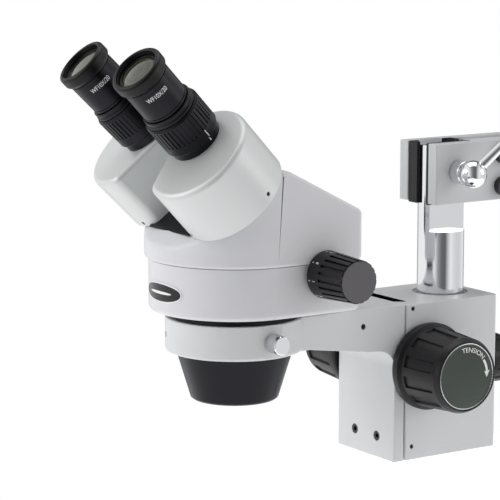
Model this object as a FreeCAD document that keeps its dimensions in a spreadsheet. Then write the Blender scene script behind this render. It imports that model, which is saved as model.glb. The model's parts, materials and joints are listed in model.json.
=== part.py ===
# Stereo zoom microscope head on a focusing block, hung from a boom clamp by a vertical post.
# Lengths are millimetres, angles degrees, +Z is up, +X is the user's right and +Y points away
# from the user. The origin is the mouth of the boom socket at the back of the clamp. The sizes
# below are written in the head's own frame, whose axis is the head's vertical axis and whose
# zero height is the top face of the holder ring; every placement adds head_y and head_z.
import FreeCAD, Part
import math
import os
import re
import Sketcher

SIZES = [
    # where the head frame sits from the boom socket's mouth
    ("head_y", -292.0), ("head_z", -82.5),
    # clearances and small general sizes
    ("running", 0.05), ("sliding", 0.12), ("seam", 0.3),
    # post and boom clamp
    ("post_y", 168.4), ("post_radius", 16.0), ("post_bottom", -111.5), ("post_top", 101.0),
    ("post_flat", 6.2), ("post_flat_start", 42.0), ("post_end_chamfer", 1.5),
    ("plate_front_y", 149.3), ("plate_back_y", 240.0), ("plate_low", 62.0), ("plate_high", 103.0),
    ("plate_thick", 9.0), ("plate_inner_right", 9.5), ("plate_inner_left", -13.0),
    ("liner_lip", -3.5), ("liner_depth", 36.0), ("liner_inset", 0.8), ("groove_clear", 0.3),
    ("tongue_y", 196.0), ("socket_y", 242.0), ("socket_width", 56.0), ("socket_low", 58.0),
    ("socket_high", 107.0), ("boom_bore_radius", 12.5), ("boom_bore_depth", 44.0),
    ("plate_bolt_radius", 4.0), ("plate_bolt_head", 6.5), ("plate_bolt_head_tall", 5.0),
    ("plate_bolt_y", 206.0), ("plate_bolt_pitch", 22.0), ("clamp_mid", 82.5),
    ("lock_stud_radius", 4.0), ("lock_wing_radius", 11.0), ("lock_wing_tall", 14.0),
    # clamp lever
    ("lever_z", 83.5), ("lever_collar_radius", 8.2), ("lever_collar_long", 9.5),
    ("lever_ball_radius", 9.5), ("lever_ball_x", 34.0), ("lever_stud_radius", 5.0),
    ("lever_rod_long", 58.0), ("lever_rod_root", 3.6), ("lever_rod_tip", 2.6),
    ("lever_knob_radius", 8.0), ("lever_azimuth", 65.0), ("lever_rise", 44.0),
    # focusing block
    ("block_half", 32.0), ("block_front", 115.5), ("block_back", 193.0),
    ("block_bottom", -107.0), ("block_top", -0.7), ("block_edge", 1.2),
    ("bush_wall", 3.0), ("bush_end_gap", 1.0), ("gear_room", 0.7),
    ("lock_knob_radius", 17.0), ("lock_knob_long", 24.0), ("lock_knob_gap", 4.0),
    ("lock_knob_z", -53.0), ("lock_screw_radius", 4.0),
    ("gib_screw_radius", 1.5), ("gib_screw_long", 10.0), ("gib_screw_y", 121.0),
    ("gib_top", -3.7), ("gib_pitch", 31.4),
    # focusing slide, rack and pinion
    ("slide_front", 114.3), ("slide_throat", 15.6), ("slide_neck_y", 116.2),
    ("slide_half", 19.8), ("slide_wide_y", 122.0), ("slide_back", 123.2),
    ("slide_bottom", -104.0), ("slide_top", -2.0), ("rack_half", 5.0), ("rack_front", 119.0),
    ("pinion_y", 131.8), ("pinion_z", -43.0), ("focus_module", 1.0), ("focus_teeth", 15.0),
    ("pinion_half", 4.6), ("pinion_shaft_radius", 4.0), ("bearing_wall", 3.5),
    ("rack_bottom", -76.0), ("rack_top", -10.0),
    ("knob_start", 33.2), ("knob_flange_long", 6.8), ("knob_flange_radius", 29.4),
    ("knob_root_radius", 27.6), ("knob_rim_radius", 24.9), ("knob_end", 77.0),
    ("knob_lobes", 16.0), ("knob_lobe_cut", 3.4), ("knob_lobe_depth", 1.7),
    ("knob_cap_radius", 21.5), ("knob_cap_thick", 2.5), ("knob_cap_recess", 1.2),
    ("knob_boss_radius", 9.0), ("knob_web", 8.0), ("knob_wall", 3.4),
    # holder ring, arm and its upright
    ("ring_radius", 45.1), ("ring_tall", 22.4), ("neck_radius", 38.0), ("ring_edge", 2.6),
    ("arm_half", 32.0), ("arm_start", 20.0), ("arm_face", 106.0), ("arm_root", -30.7),
    ("arm_slope_y", 85.0), ("arm_slope_z", -29.3), ("arm_fillet", 13.0),
    ("upright_bottom", -107.0), ("ring_flat_x", 44.5), ("ring_flat_half", 6.75),
    ("slide_screw_x", 12.5), ("slide_screw_z", -92.4), ("slide_screw_radius", 2.0),
    ("slide_screw_head", 3.4), ("slide_screw_long", 13.0), ("slide_screw_sink", 3.2),
    ("arm_plug_y", 80.2), ("arm_plug_z", -11.6), ("plug_radius", 1.9), ("plug_long", 6.0),
    ("ring_plug_angle", -22.0),
    ("thumb_z", -11.3), ("thumb_radius", 6.1), ("thumb_start", 46.0), ("thumb_end", 56.2),
    ("thumb_screw_radius", 3.0), ("thumb_tip", 41.6),
    # black lens barrel, objective shroud and its lenses
    ("barrel_flange_radius", 43.0), ("barrel_flange_top", 4.8), ("barrel_bore", 34.5),
    ("shroud_bottom", -54.5), ("shroud_end_radius", 28.7), ("shroud_wall", 2.6),
    ("thread_radius", 24.0), ("thread_long", 7.0), ("shroud_nose", 2.0),
    ("cell_top", -10.0), ("cell_thick", 6.0), ("objective_x", 13.0), ("objective_radius", 9.5),
    # lower and upper housing
    ("lower_radius", 55.6), ("upper_radius", 58.2), ("housing_back", 60.8),
    ("lower_bottom", 5.1), ("seam_z", 38.7), ("wall", 3.0), ("lower_edge", 3.5),
    ("upper_edge", 2.6), ("back_corner", 4.0), ("housing_floor_hole", 33.0),
    ("roof_seat", 76.6), ("roof_back_y", 58.4), ("roof_back_z", 71.4), ("roof_back_slope", 27.06),
    ("badge_width", 40.0), ("badge_tall", 12.7), ("badge_z", 20.15),
    ("badge_thick", 0.9), ("badge_sink", 0.5),
    # zoom drive
    ("zoom_y", 31.4), ("zoom_z", 31.9), ("zoom_shaft_radius", 3.0), ("zoom_module", 0.5),
    ("zoom_teeth", 16.0), ("zoom_pinion_half", 4.0), ("zoom_knob_start", 58.8),
    ("zoom_knob_end", 94.3), ("zoom_knob_root", 15.5), ("zoom_knob_tip", 13.7),
    ("zoom_flutes", 24.0), ("zoom_flute_start", 70.0), ("zoom_flute_cut", 0.9),
    ("lower_lens_z", 17.5), ("upper_lens_z", 50.0), ("lens_plate_thick", 4.0),
    ("lens_plate_half", 29.0), ("lens_plate_deep", 13.0), ("zoom_lens_x", 12.0),
    ("zoom_lens_radius", 9.0), ("rod_x", 25.0), ("rod_radius", 2.0), ("rod_top", 72.0),
    ("rack_bar", 4.0), ("zoom_knob_front", 6.0), ("floor_rod_y", 0.0), ("arm_gap", 8.0),
    ("arm_wide", 6.0), ("zoom_rack_half", 12.5),
    # prism boxes: a frame tipped back from the vertical and toed outwards on each side
    ("eye_tilt", 45.0), ("toe_out", 5.0), ("pivot_x", 27.5), ("pivot_q", 42.5),
    ("box_low", 77.4), ("box_face", 119.5), ("box_radius", 36.0), ("box_flat", 24.8),
    ("box_turn", 16.5), ("box_wall", 3.0), ("box_corner", 7.0), ("box_edge", 3.5),
    ("hub_radius", 14.0), ("hub_wall", 3.0), ("hub_long", 8.0), ("hub_room", 20.0), ("base_thick", 3.0),
    ("prism_wide", 24.0), ("prism_long", 30.0), ("prism_tall", 24.0),
    ("box_screw_radius", 1.3), ("box_screw_long", 4.0), ("box_screw_w", 82.5),
    ("box_screw_angle", -20.0),
    ("seat_half", 24.0), ("seat_sink", 1.2), ("seat_low", 6.5), ("seat_high", 64.0),
    # eyepiece tubes
    ("tube_x", 18.3), ("tube_q", 51.6), ("tube_radius", 17.3), ("tube_bore", 16.1),
    ("tube_long", 24.5), ("tube_floor", 2.0), ("tube_hole", 11.5),
    ("ring_low", 5.2), ("ring_high", 28.2), ("ring_out", 18.9), ("ring_flute_low", 12.0),
    ("ring_flutes", 30.0), ("ring_flute_cut", 0.75),
    ("ring_lip", 0.8),
    ("sleeve_low", 8.0), ("sleeve_wall", 0.9), ("collar_low", 28.4), ("collar_high", 33.4),
    ("collar_radius", 17.1), ("plug_in_radius", 15.0), ("plug_in_low", 11.0),
    ("eyepiece_radius", 15.8), ("eyepiece_shoulder", 33.6), ("rim_low", 57.6),
    ("rim_radius", 17.6), ("eyepiece_top", 66.1), ("eyepiece_bore", 12.6),
    ("eye_lens_low", 58.5), ("eye_lens_thick", 3.6),
    ("rim_recess", 3.6), ("rim_bore", 14.2),
]
VALUE = dict(SIZES)

doc = FreeCAD.newDocument("StereoMicroscope")
sheet = doc.addObject("Spreadsheet::Sheet", "sizes")
for row, (alias, number) in enumerate(SIZES, start=1):
    sheet.set("A%d" % row, alias)
    sheet.set("B%d" % row, str(number))
    sheet.setAlias("B%d" % row, alias)
doc.recompute()

NODES = []
UPRIGHT = "rotation(vector(0; 0; 1); 0)"
ALONG = {
    "x": "rotation(vector(0; 1; 0); 90)",
    "y": "rotation(vector(1; 0; 0); -90)",
    "z": UPRIGHT,
    "-x": "rotation(vector(0; 1; 0); -90)",
}


def bound(text):
    """An expression in which each named size points at its spreadsheet cell."""
    return re.sub(r"[a-z][a-z_0-9]*", lambda m: "sizes." + m[0] if m[0] in VALUE else m[0], text)


def put(thing, x="0", y="0", z="0", turn=UPRIGHT):
    """Place a thing at a point of the head's frame."""
    text = "placement(vector(%s; %s + head_y; %s + head_z); %s)" % (x, y, z, turn)
    thing.setExpression("Placement", bound(text))


def size(thing, **sizes):
    for name, text in sizes.items():
        thing.setExpression(name, bound(text))


def block(x, y, z):
    """A box from its low and high expressions along each axis of the head's frame."""
    solid = doc.addObject("Part::Box", "box")
    size(solid, Length="(%s) - (%s)" % (x[1], x[0]), Width="(%s) - (%s)" % (y[1], y[0]),
         Height="(%s) - (%s)" % (z[1], z[0]))
    put(solid, "(%s)" % x[0], "(%s)" % y[0], "(%s)" % z[0])
    return solid


def rod(radius, axis, low, high, x="0", y="0", z="0"):
    """A round bar along one axis, from low to high on that axis."""
    solid = doc.addObject("Part::Cylinder", "rod")
    size(solid, Radius=radius, Height="(%s) - (%s)" % (high, low))
    start = {"x": x, "y": y, "z": z}
    start[axis] = "(%s)" % low
    put(solid, start["x"], start["y"], start["z"], ALONG[axis])
    return solid


def ball(radius, x, y, z):
    solid = doc.addObject("Part::Sphere", "ball")
    size(solid, Radius=radius)
    put(solid, x, y, z)
    return solid


def fuse(*things):
    solid = doc.addObject("Part::MultiFuse", "fuse")
    solid.Shapes = list(things)
    solid.Refine = True
    return solid


def cut(base, *tools):
    solid = doc.addObject("Part::Cut", "cut")
    solid.Base = base
    solid.Tool = tools[0] if len(tools) == 1 else fuse(*tools)
    return solid


def common(*things):
    solid = doc.addObject("Part::MultiCommon", "common")
    solid.Shapes = list(things)
    return solid


def group(*things):
    """Separate solids that share one node."""
    solid = doc.addObject("Part::Compound", "group")
    solid.Links = list(things)
    return solid


def node(thing, name):
    thing.Label = name
    NODES.append(thing)
    return thing


def origin_plane(body, role):
    return next(part for part in body.Origin.OriginFeatures if part.Role == role)


def outline(body, role, points):
    """A closed sketch of straight sides whose corners are bound to the sheet."""
    sketch = body.newObject("Sketcher::SketchObject", "outline")
    sketch.AttachmentSupport = [(origin_plane(body, role), "")]
    sketch.MapMode = "FlatFace"
    corners = [(worth(x), worth(y)) for x, y in points]
    count = len(corners)
    for index, start in enumerate(corners):
        end = corners[(index + 1) % count]
        line = Part.LineSegment(FreeCAD.Vector(*start, 0), FreeCAD.Vector(*end, 0))
        sketch.addGeometry(line, False)
    for index in range(count):
        sketch.addConstraint(Sketcher.Constraint("Coincident", index, 2, (index + 1) % count, 1))
    for index, (x, y) in enumerate(points):
        pin_corner(sketch, index, "DistanceX", x, corners[index][0], -2)
        pin_corner(sketch, index, "DistanceY", y, corners[index][1], -1)
    return sketch


def pin_corner(sketch, index, kind, text, number, axis):
    if text == "0":
        sketch.addConstraint(Sketcher.Constraint("PointOnObject", index, 1, axis))
        return
    place = sketch.addConstraint(Sketcher.Constraint(kind, -1, 1, index, 1, number))
    sketch.setExpression("Constraints[%d]" % place, bound(text))


def worth(text):
    """The present value of a size expression."""
    return float(sheet.evalExpression(bound(text)))


def turned(profile, axis="z", x="0", y="0", z="0"):
    """A lathe-turned body from (radius, height) corners, its axis along x, y or z."""
    body = doc.addObject("PartDesign::Body", "turned")
    sketch = outline(body, "XZ_Plane", profile)
    revolve = body.newObject("PartDesign::Revolution", "revolve")
    revolve.Profile = sketch
    revolve.ReferenceAxis = (sketch, ["V_Axis"])
    revolve.Angle = 360
    put(body, x, y, z, ALONG[axis])
    return body


def flute(body, radius_text, cutter_text, low_text, high_text, count_text):
    """Cut evenly spaced straight flutes around a turned body, between two heights."""
    sketch = body.newObject("Sketcher::SketchObject", "flute")
    sketch.AttachmentSupport = [(origin_plane(body, "XY_Plane"), "")]
    sketch.MapMode = "FlatFace"
    sketch.setExpression("AttachmentOffset", bound("placement(vector(0; 0; %s); %s)" % (low_text, UPRIGHT)))
    centre = FreeCAD.Vector(worth(radius_text), 0, 0)
    sketch.addGeometry(Part.Circle(centre, FreeCAD.Vector(0, 0, 1), worth(cutter_text)), False)
    sketch.addConstraint(Sketcher.Constraint("PointOnObject", 0, 3, -1))
    across = sketch.addConstraint(Sketcher.Constraint("DistanceX", -1, 1, 0, 3, centre.x))
    sketch.setExpression("Constraints[%d]" % across, bound(radius_text))
    wide = sketch.addConstraint(Sketcher.Constraint("Radius", 0, worth(cutter_text)))
    sketch.setExpression("Constraints[%d]" % wide, bound(cutter_text))
    pocket = body.newObject("PartDesign::Pocket", "flute_cut")
    pocket.Profile = sketch
    pocket.Reversed = True
    size(pocket, Length="(%s) - (%s)" % (high_text, low_text))
    pattern = body.newObject("PartDesign::PolarPattern", "flutes")
    pattern.Originals = [pocket]
    pattern.Axis = (origin_plane(body, "Z_Axis"), [""])
    pattern.Angle = 360
    size(pattern, Occurrences=count_text)
    body.Tip = pattern
    return body


def plate(points, role, low, high):
    """A flat body: an outline on an origin plane, raised from low to high along its normal."""
    body = doc.addObject("PartDesign::Body", "plate")
    sketch = outline(body, role, points)
    sketch.setExpression("AttachmentOffset", bound("placement(vector(0; 0; %s); %s)" % (low, UPRIGHT)))
    pad = body.newObject("PartDesign::Pad", "pad")
    pad.Profile = sketch
    size(pad, Length="(%s) - (%s)" % (high, low))
    put(body)
    return body


def round_edges(body, radius_text, wanted):
    """Fillet the edges of a body's tip that a test picks by their place."""
    body.recompute(True)
    tip = body.Tip
    names = ["Edge%d" % (i + 1) for i, e in enumerate(tip.Shape.Edges) if wanted(e)]
    fillet = body.newObject("PartDesign::Fillet", "fillet")
    fillet.Base = (tip, names)
    size(fillet, Radius=radius_text)
    body.Tip = fillet
    return body


def tilted(thing, side, x, q, w, spin="0"):
    """Place a thing in the frame of one eye: x across, q up the slope, w along the eye tube."""
    text = ("placement(vector(0; head_y; head_z); "
            "rotation(vector(1; 0; 0); eye_tilt) * rotation(vector(0; 1; 0); %d * toe_out)) * "
            "placement(vector(%s; %s; %s); rotation(vector(0; 0; 1); %s))" % (side, x, q, w, spin))
    thing.setExpression("Placement", bound(text))
    return thing


def d_body(radius, back, low, high):
    """An upright body that is half round in front of the head's axis and square behind it."""
    body = doc.addObject("PartDesign::Body", "housing")
    sketch = body.newObject("Sketcher::SketchObject", "outline")
    sketch.AttachmentSupport = [(origin_plane(body, "XY_Plane"), "")]
    sketch.MapMode = "FlatFace"
    sketch.setExpression("AttachmentOffset", bound("placement(vector(0; 0; %s); %s)" % (low, UPRIGHT)))
    r = worth(radius)
    rear = worth(back)
    circle = Part.Circle(FreeCAD.Vector(0, 0, 0), FreeCAD.Vector(0, 0, 1), r)
    sketch.addGeometry(Part.ArcOfCircle(circle, math.pi, 2 * math.pi), False)
    corners = [(r, 0), (r, rear), (-r, rear), (-r, 0)]
    for start, end in zip(corners, corners[1:]):
        line = Part.LineSegment(FreeCAD.Vector(*start, 0), FreeCAD.Vector(*end, 0))
        sketch.addGeometry(line, False)
    for first, end, second, start in ((0, 2, 1, 1), (1, 2, 2, 1), (2, 2, 3, 1), (3, 2, 0, 1)):
        sketch.addConstraint(Sketcher.Constraint("Coincident", first, end, second, start))
    sketch.addConstraint(Sketcher.Constraint("Coincident", 0, 3, -1, 1))
    sketch.addConstraint(Sketcher.Constraint("PointOnObject", 0, 1, -1))
    sketch.addConstraint(Sketcher.Constraint("PointOnObject", 0, 2, -1))
    sketch.addConstraint(Sketcher.Constraint("Vertical", 1))
    sketch.addConstraint(Sketcher.Constraint("Horizontal", 2))
    sketch.addConstraint(Sketcher.Constraint("Vertical", 3))
    place = sketch.addConstraint(Sketcher.Constraint("Radius", 0, r))
    sketch.setExpression("Constraints[%d]" % place, bound(radius))
    place = sketch.addConstraint(Sketcher.Constraint("DistanceY", -1, 1, 1, 2, rear))
    sketch.setExpression("Constraints[%d]" % place, bound(back))
    pad = body.newObject("PartDesign::Pad", "pad")
    pad.Profile = sketch
    size(pad, Length="(%s) - (%s)" % (high, low))
    put(body)
    return body


def chord_body(radius, flat, tall, corner):
    """A round disc with one flat side towards -x, its two sharp corners rounded."""
    body = doc.addObject("PartDesign::Body", "disc")
    sketch = body.newObject("Sketcher::SketchObject", "outline")
    sketch.AttachmentSupport = [(origin_plane(body, "XY_Plane"), "")]
    sketch.MapMode = "FlatFace"
    r = worth(radius)
    away = worth(flat)
    half = math.acos(-away / r)
    circle = Part.Circle(FreeCAD.Vector(0, 0, 0), FreeCAD.Vector(0, 0, 1), r)
    sketch.addGeometry(Part.ArcOfCircle(circle, -half, half), False)
    top = FreeCAD.Vector(-away, r * math.sin(half), 0)
    low = FreeCAD.Vector(-away, -r * math.sin(half), 0)
    sketch.addGeometry(Part.LineSegment(top, low), False)
    sketch.addConstraint(Sketcher.Constraint("Coincident", 0, 2, 1, 1))
    sketch.addConstraint(Sketcher.Constraint("Coincident", 1, 2, 0, 1))
    sketch.addConstraint(Sketcher.Constraint("Coincident", 0, 3, -1, 1))
    sketch.addConstraint(Sketcher.Constraint("Vertical", 1))
    place = sketch.addConstraint(Sketcher.Constraint("Radius", 0, r))
    sketch.setExpression("Constraints[%d]" % place, bound(radius))
    place = sketch.addConstraint(Sketcher.Constraint("DistanceX", -1, 1, 1, 1, -away))
    sketch.setExpression("Constraints[%d]" % place, bound("0 - (%s)" % flat))
    pad = body.newObject("PartDesign::Pad", "pad")
    pad.Profile = sketch
    size(pad, Length=tall)
    return round_edges(body, corner, upright_edge)


def upright_edge(edge):
    direction = edge.tangentAt(edge.FirstParameter)
    return edge.Curve.TypeId == "Part::GeomLine" and abs(direction.z) > 0.99


def upright_edge_behind(edge):
    return upright_edge(edge) and edge.BoundBox.YMin > 1


def at_height(text):
    """A test for the edges that lie all in one level."""
    level = worth(text)
    return lambda edge: abs(edge.BoundBox.ZMin - level) < 1e-4 and abs(edge.BoundBox.ZMax - level) < 1e-4


def involute(angle):
    return math.tan(angle) - angle


def gear_outline(module, teeth, slack):
    """The outline of an involute gear with a tooth centred on angle 0."""
    pressure = math.radians(20)
    pitch = module * teeth / 2
    base = pitch * math.cos(pressure)
    tip = pitch + module
    root = pitch - 1.25 * module
    half = math.pi / (2 * teeth) - slack / (2 * pitch) + involute(pressure)
    steps = 5
    flank = [(root, half)]
    for step in range(steps + 1):
        radius = base + (tip - base) * step / steps
        flank.append((radius, half - involute(math.acos(base / radius))))
    points = []
    for tooth in range(int(teeth)):
        middle = 2 * math.pi * tooth / teeth
        for radius, angle in flank:
            points.append((radius * math.cos(middle - angle), radius * math.sin(middle - angle)))
        for radius, angle in reversed(flank):
            points.append((radius * math.cos(middle + angle), radius * math.sin(middle + angle)))
    return points


def rack_outline(module, slack, low, high, middle, back):
    """A toothed bar: teeth rise towards +x from a pitch line at 0, with a gap at the middle."""
    slope = math.tan(math.radians(20))
    pitch = math.pi * module
    half = pitch / 4 - slack / 2
    tip = 0.8 * module
    root = -1.25 * module
    points = [(back, low), (root, low)]
    number = math.ceil((low + half - root * slope - middle) / pitch - 0.5)
    centre = middle + pitch * (number + 0.5)
    while centre + half - root * slope < high:
        points.append((root, centre - half + root * slope))
        points.append((tip, centre - half + tip * slope))
        points.append((tip, centre + half - tip * slope))
        points.append((root, centre + half - root * slope))
        centre += pitch
    return points + [(root, high), (back, high)]


def shaped(points, length, base, rotation):
    """A prism with a worked-out outline, placed in the head's frame."""
    corners = [FreeCAD.Vector(x, y, 0) for x, y in points]
    face = Part.Face(Part.makePolygon(corners + corners[:1]))
    solid = doc.addObject("Part::Feature", "toothed")
    solid.Shape = face.extrude(FreeCAD.Vector(0, 0, length))
    solid.Placement = FreeCAD.Placement(base, rotation)
    return solid


def in_head(x, y, z):
    return FreeCAD.Vector(x, y + VALUE["head_y"], z + VALUE["head_z"])


def pinion_gear(module, teeth, slack, half, y, z):
    """A gear on an axis along X, one tooth pointing to -Y."""
    turn = FreeCAD.Rotation(FreeCAD.Vector(0, 1, 0), FreeCAD.Vector(0, 0, 1), FreeCAD.Vector(1, 0, 0))
    back = FreeCAD.Rotation(FreeCAD.Vector(0, 0, 1), 180)
    points = gear_outline(module, teeth, slack)
    return shaped(points, 2 * half, in_head(-half, y, z), turn.multiply(back))


def toothed_rack(module, slack, half, facing, pitch_y, low, high, middle, back):
    """A rack along Z whose teeth face +Y or -Y; back is the depth of its bar behind the pitch line."""
    points = rack_outline(module, slack, low, high, middle, -back)
    across = FreeCAD.Vector(0, facing, 0)
    up = FreeCAD.Vector(0, 0, 1)
    turn = FreeCAD.Rotation(across, up, across.cross(up))
    start = -half * facing
    return shaped(points, 2 * half, in_head(start, pitch_y, 0), turn)


# ---- Post, boom clamp and its lever -------------------------------------------------------

post_bar = turned([("0", "post_bottom"), ("post_radius - post_end_chamfer", "post_bottom"),
                   ("post_radius", "post_bottom + post_end_chamfer"), ("post_radius", "post_top"),
                   ("0", "post_top")], y="post_y")
post_flat_tool = block(("post_flat", "post_radius + 1"),
                       ("post_y - post_radius - 1", "post_y + post_radius + 1"),
                       ("post_flat_start", "post_top + 1"))
node(cut(post_bar, post_flat_tool), "post")

bolt_y_z = []
for row in (0, 1):
    for level in (-0.5, 0.5):
        bolt_y_z.append(("plate_bolt_y + %d * plate_bolt_pitch" % row,
                         "clamp_mid + %s * plate_bolt_pitch" % level))
plate_outer_right = "plate_inner_right + plate_thick"
plate_outer_left = "plate_inner_left - plate_thick"


def clamp_bores(radius):
    return [rod(radius, "x", plate_outer_left + " - 1", plate_outer_right + " + 1", y=y, z=z)
            for y, z in bolt_y_z]


plate_y = ("plate_front_y", "plate_back_y")
plate_z = ("plate_low", "plate_high")
post_room = rod("post_radius + groove_clear", "z", "plate_low - 1", "plate_high + 5", y="post_y")
stud_room = rod("lever_stud_radius + running", "x", "plate_inner_right - 1",
                plate_outer_right + " + 1", y="post_y", z="lever_z")
right_plate = block(("plate_inner_right", plate_outer_right), plate_y, plate_z)
node(cut(right_plate, stud_room, *clamp_bores("plate_bolt_radius + running")), "clamp_plate_right")
left_plate = block((plate_outer_left, "plate_inner_left"), plate_y, plate_z)
node(cut(left_plate, post_room, *clamp_bores("plate_bolt_radius + running")), "clamp_plate_left")

liner_y = ("plate_front_y + liner_inset", "plate_front_y + liner_inset + liner_depth")
right_liner = block(("post_flat", "plate_inner_right"), liner_y, ("plate_low - 1", "plate_high"))
node(right_liner, "post_liner_right")
left_liner = block(("plate_inner_left", "liner_lip"), liner_y, ("plate_low - 1", "plate_high"))
node(cut(left_liner, post_room), "post_liner_left")

socket_body = block(("0 - socket_width / 2", "socket_width / 2"), ("socket_y", "0 - head_y"),
                    ("socket_low", "socket_high"))
tongue = block(("plate_inner_left", "plate_inner_right"), ("tongue_y", "socket_y + 1"),
               ("plate_low + 2", "plate_high - 2"))
boom_bore = rod("boom_bore_radius", "y", "0 - head_y - boom_bore_depth", "0 - head_y + 1",
                z="clamp_mid")
lock_hole = rod("lock_stud_radius + running", "z", "clamp_mid", "socket_high + 1",
                y="0 - head_y - boom_bore_depth / 2")
node(cut(fuse(socket_body, tongue), boom_bore, lock_hole,
         *clamp_bores("plate_bolt_radius + running")), "boom_socket")

bolts = []
for y, z in bolt_y_z:
    shank = rod("plate_bolt_radius", "x", plate_outer_left, plate_outer_right, y=y, z=z)
    head = rod("plate_bolt_head", "x", plate_outer_right, plate_outer_right + " + plate_bolt_head_tall",
               y=y, z=z)
    key = rod("plate_bolt_radius * 0.8", "x", plate_outer_right + " + plate_bolt_head_tall / 2",
              plate_outer_right + " + plate_bolt_head_tall + 1", y=y, z=z)
    bolts.append(cut(fuse(shank, head), key))
node(group(*bolts), "plate_bolts")

lock_tip = "clamp_mid + boom_bore_radius + seam"
node(turned([("0", lock_tip), ("lock_stud_radius", lock_tip), ("lock_stud_radius", "socket_high + 1.5"),
             ("lock_wing_radius", "socket_high + 1.5"),
             ("lock_wing_radius", "socket_high + 1.5 + lock_wing_tall"),
             ("0", "socket_high + 1.5 + lock_wing_tall")],
            y="0 - head_y - boom_bore_depth / 2"), "boom_lock_screw")

lever_turn = "rotation(vector(0; 0; 1); lever_azimuth) * rotation(vector(0; 1; 0); 90 - lever_rise)"
lever_stud = rod("lever_stud_radius", "x", "plate_inner_right", "lever_ball_x", y="post_y", z="lever_z")
lever_collar = rod("lever_collar_radius", "x", plate_outer_right + " + seam",
                   plate_outer_right + " + seam + lever_collar_long", y="post_y", z="lever_z")
lever_ball = ball("lever_ball_radius", "lever_ball_x", "post_y", "lever_z")
lever_rod = doc.addObject("Part::Cone", "lever_rod")
size(lever_rod, Radius1="lever_rod_root", Radius2="lever_rod_tip", Height="lever_rod_long")
put(lever_rod, "lever_ball_x", "post_y", "lever_z", lever_turn)
node(fuse(lever_stud, lever_collar, lever_ball, lever_rod), "clamp_lever")
knob_ball = ball("lever_knob_radius", "0", "0", "0")
knob_ball.setExpression("Placement", bound(
    "placement(vector(lever_ball_x; post_y + head_y; lever_z + head_z); %s) * "
    "placement(vector(0; 0; lever_rod_long + lever_knob_radius / 2); %s)" % (lever_turn, UPRIGHT)))
node(cut(knob_ball, lever_rod), "lever_knob")

# ---- Focusing block, its bush on the post and its lock ------------------------------------

bush_bore = "post_radius + running"
bush_out = bush_bore + " + bush_wall"
bush_z = ("block_bottom + bush_end_gap", "block_top - bush_end_gap")
node(cut(rod(bush_out, "z", *bush_z, y="post_y"),
         rod(bush_bore, "z", "block_bottom - 5", "block_top + 5", y="post_y")), "post_bush")

focus_pitch = "focus_module * focus_teeth / 2"
rack_line = "pinion_y - " + focus_pitch
rack_back_room = rack_line + " + focus_module + gear_room"
block_corners = [("0 - block_half", "block_front"), ("block_half", "block_front"),
                 ("block_half", "block_back"), ("0 - block_half", "block_back")]
block_body = plate(block_corners, "XY_Plane", "block_bottom", "block_top")
round_edges(block_body, "block_edge", upright_edge)
post_bore = rod(bush_out + " + running", "z", "block_bottom - 1", "block_top + 1", y="post_y")
groove_half = "slide_throat + sliding"
groove_wide = "slide_half + sliding"
groove_back = "slide_back + sliding"
groove = plate([("0 - (%s)" % groove_half, "block_front - 1"), (groove_half, "block_front - 1"),
                (groove_half, "slide_neck_y"), (groove_wide, "slide_wide_y"),
                (groove_wide, groove_back), ("0 - (%s)" % groove_wide, groove_back),
                ("0 - (%s)" % groove_wide, "slide_wide_y"), ("0 - (%s)" % groove_half, "slide_neck_y")],
               "XY_Plane", "block_bottom - 1", "block_top + 1")
rack_room = block(("0 - rack_half - 1", "rack_half + 1"), ("slide_wide_y", rack_back_room),
                  ("block_bottom - 1", "block_top + 1"))
pinion_room = rod(focus_pitch + " + focus_module + gear_room", "x", "0 - pinion_half - 1", "pinion_half + 1",
                  y="pinion_y", z="pinion_z")
bearing_out = "pinion_shaft_radius + bearing_wall"
bearing_room = rod(bearing_out + " + running", "x", "0 - block_half - 1", "block_half + 1",
                   y="pinion_y", z="pinion_z")
lock_bore = rod("lock_screw_radius + running", "y", "post_y", "block_back + 1", z="lock_knob_z")

def gib_holes(grow, reach):
    """The gib screws' bars in the block's right side, at four heights."""
    return [rod("gib_screw_radius" + grow, "x", "block_half - gib_screw_long", "block_half" + reach,
                y="gib_screw_y", z="gib_top - %d * gib_pitch" % row) for row in range(4)]


node(cut(block_body, post_bore, groove, rack_room, pinion_room, bearing_room, lock_bore,
         *gib_holes(" + running", " + 1")), "focus_block")
node(group(*gib_holes("", " - 0.6")), "gib_screws")

bearings = []
for low, high in (("pinion_half + 1.2", "block_half + 0.6"), ("0 - block_half - 0.6", "0 - pinion_half - 1.2")):
    tube = rod(bearing_out, "x", low, high, y="pinion_y", z="pinion_z")
    hole = rod("pinion_shaft_radius + running", "x", low + " - 1", high + " + 1",
               y="pinion_y", z="pinion_z")
    bearings.append(cut(tube, hole))
node(group(*bearings), "pinion_bearings")

lock_start = "post_y + " + bush_out + " + seam"
lock_long = "block_back + lock_knob_gap - (%s)" % lock_start
node(turned([("0", "0"), ("lock_screw_radius", "0"), ("lock_screw_radius", lock_long),
             ("lock_knob_radius", lock_long), ("lock_knob_radius", lock_long + " + lock_knob_long"),
             ("0", lock_long + " + lock_knob_long")],
            "y", y=lock_start, z="lock_knob_z"), "block_lock_knob")

# ---- Focusing pinion, knobs, rack and slide -----------------------------------------------

FOCUS_SLACK = 0.25
gear = pinion_gear(VALUE["focus_module"], VALUE["focus_teeth"], FOCUS_SLACK, VALUE["pinion_half"],
                   VALUE["pinion_y"], VALUE["pinion_z"])
cap_floor = "knob_end - knob_cap_thick - knob_cap_recess"
shaft = rod("pinion_shaft_radius", "x", "0 - (%s - 0.1)" % cap_floor, cap_floor + " - 0.1",
            y="pinion_y", z="pinion_z")
node(fuse(shaft, gear), "pinion_shaft")

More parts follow.
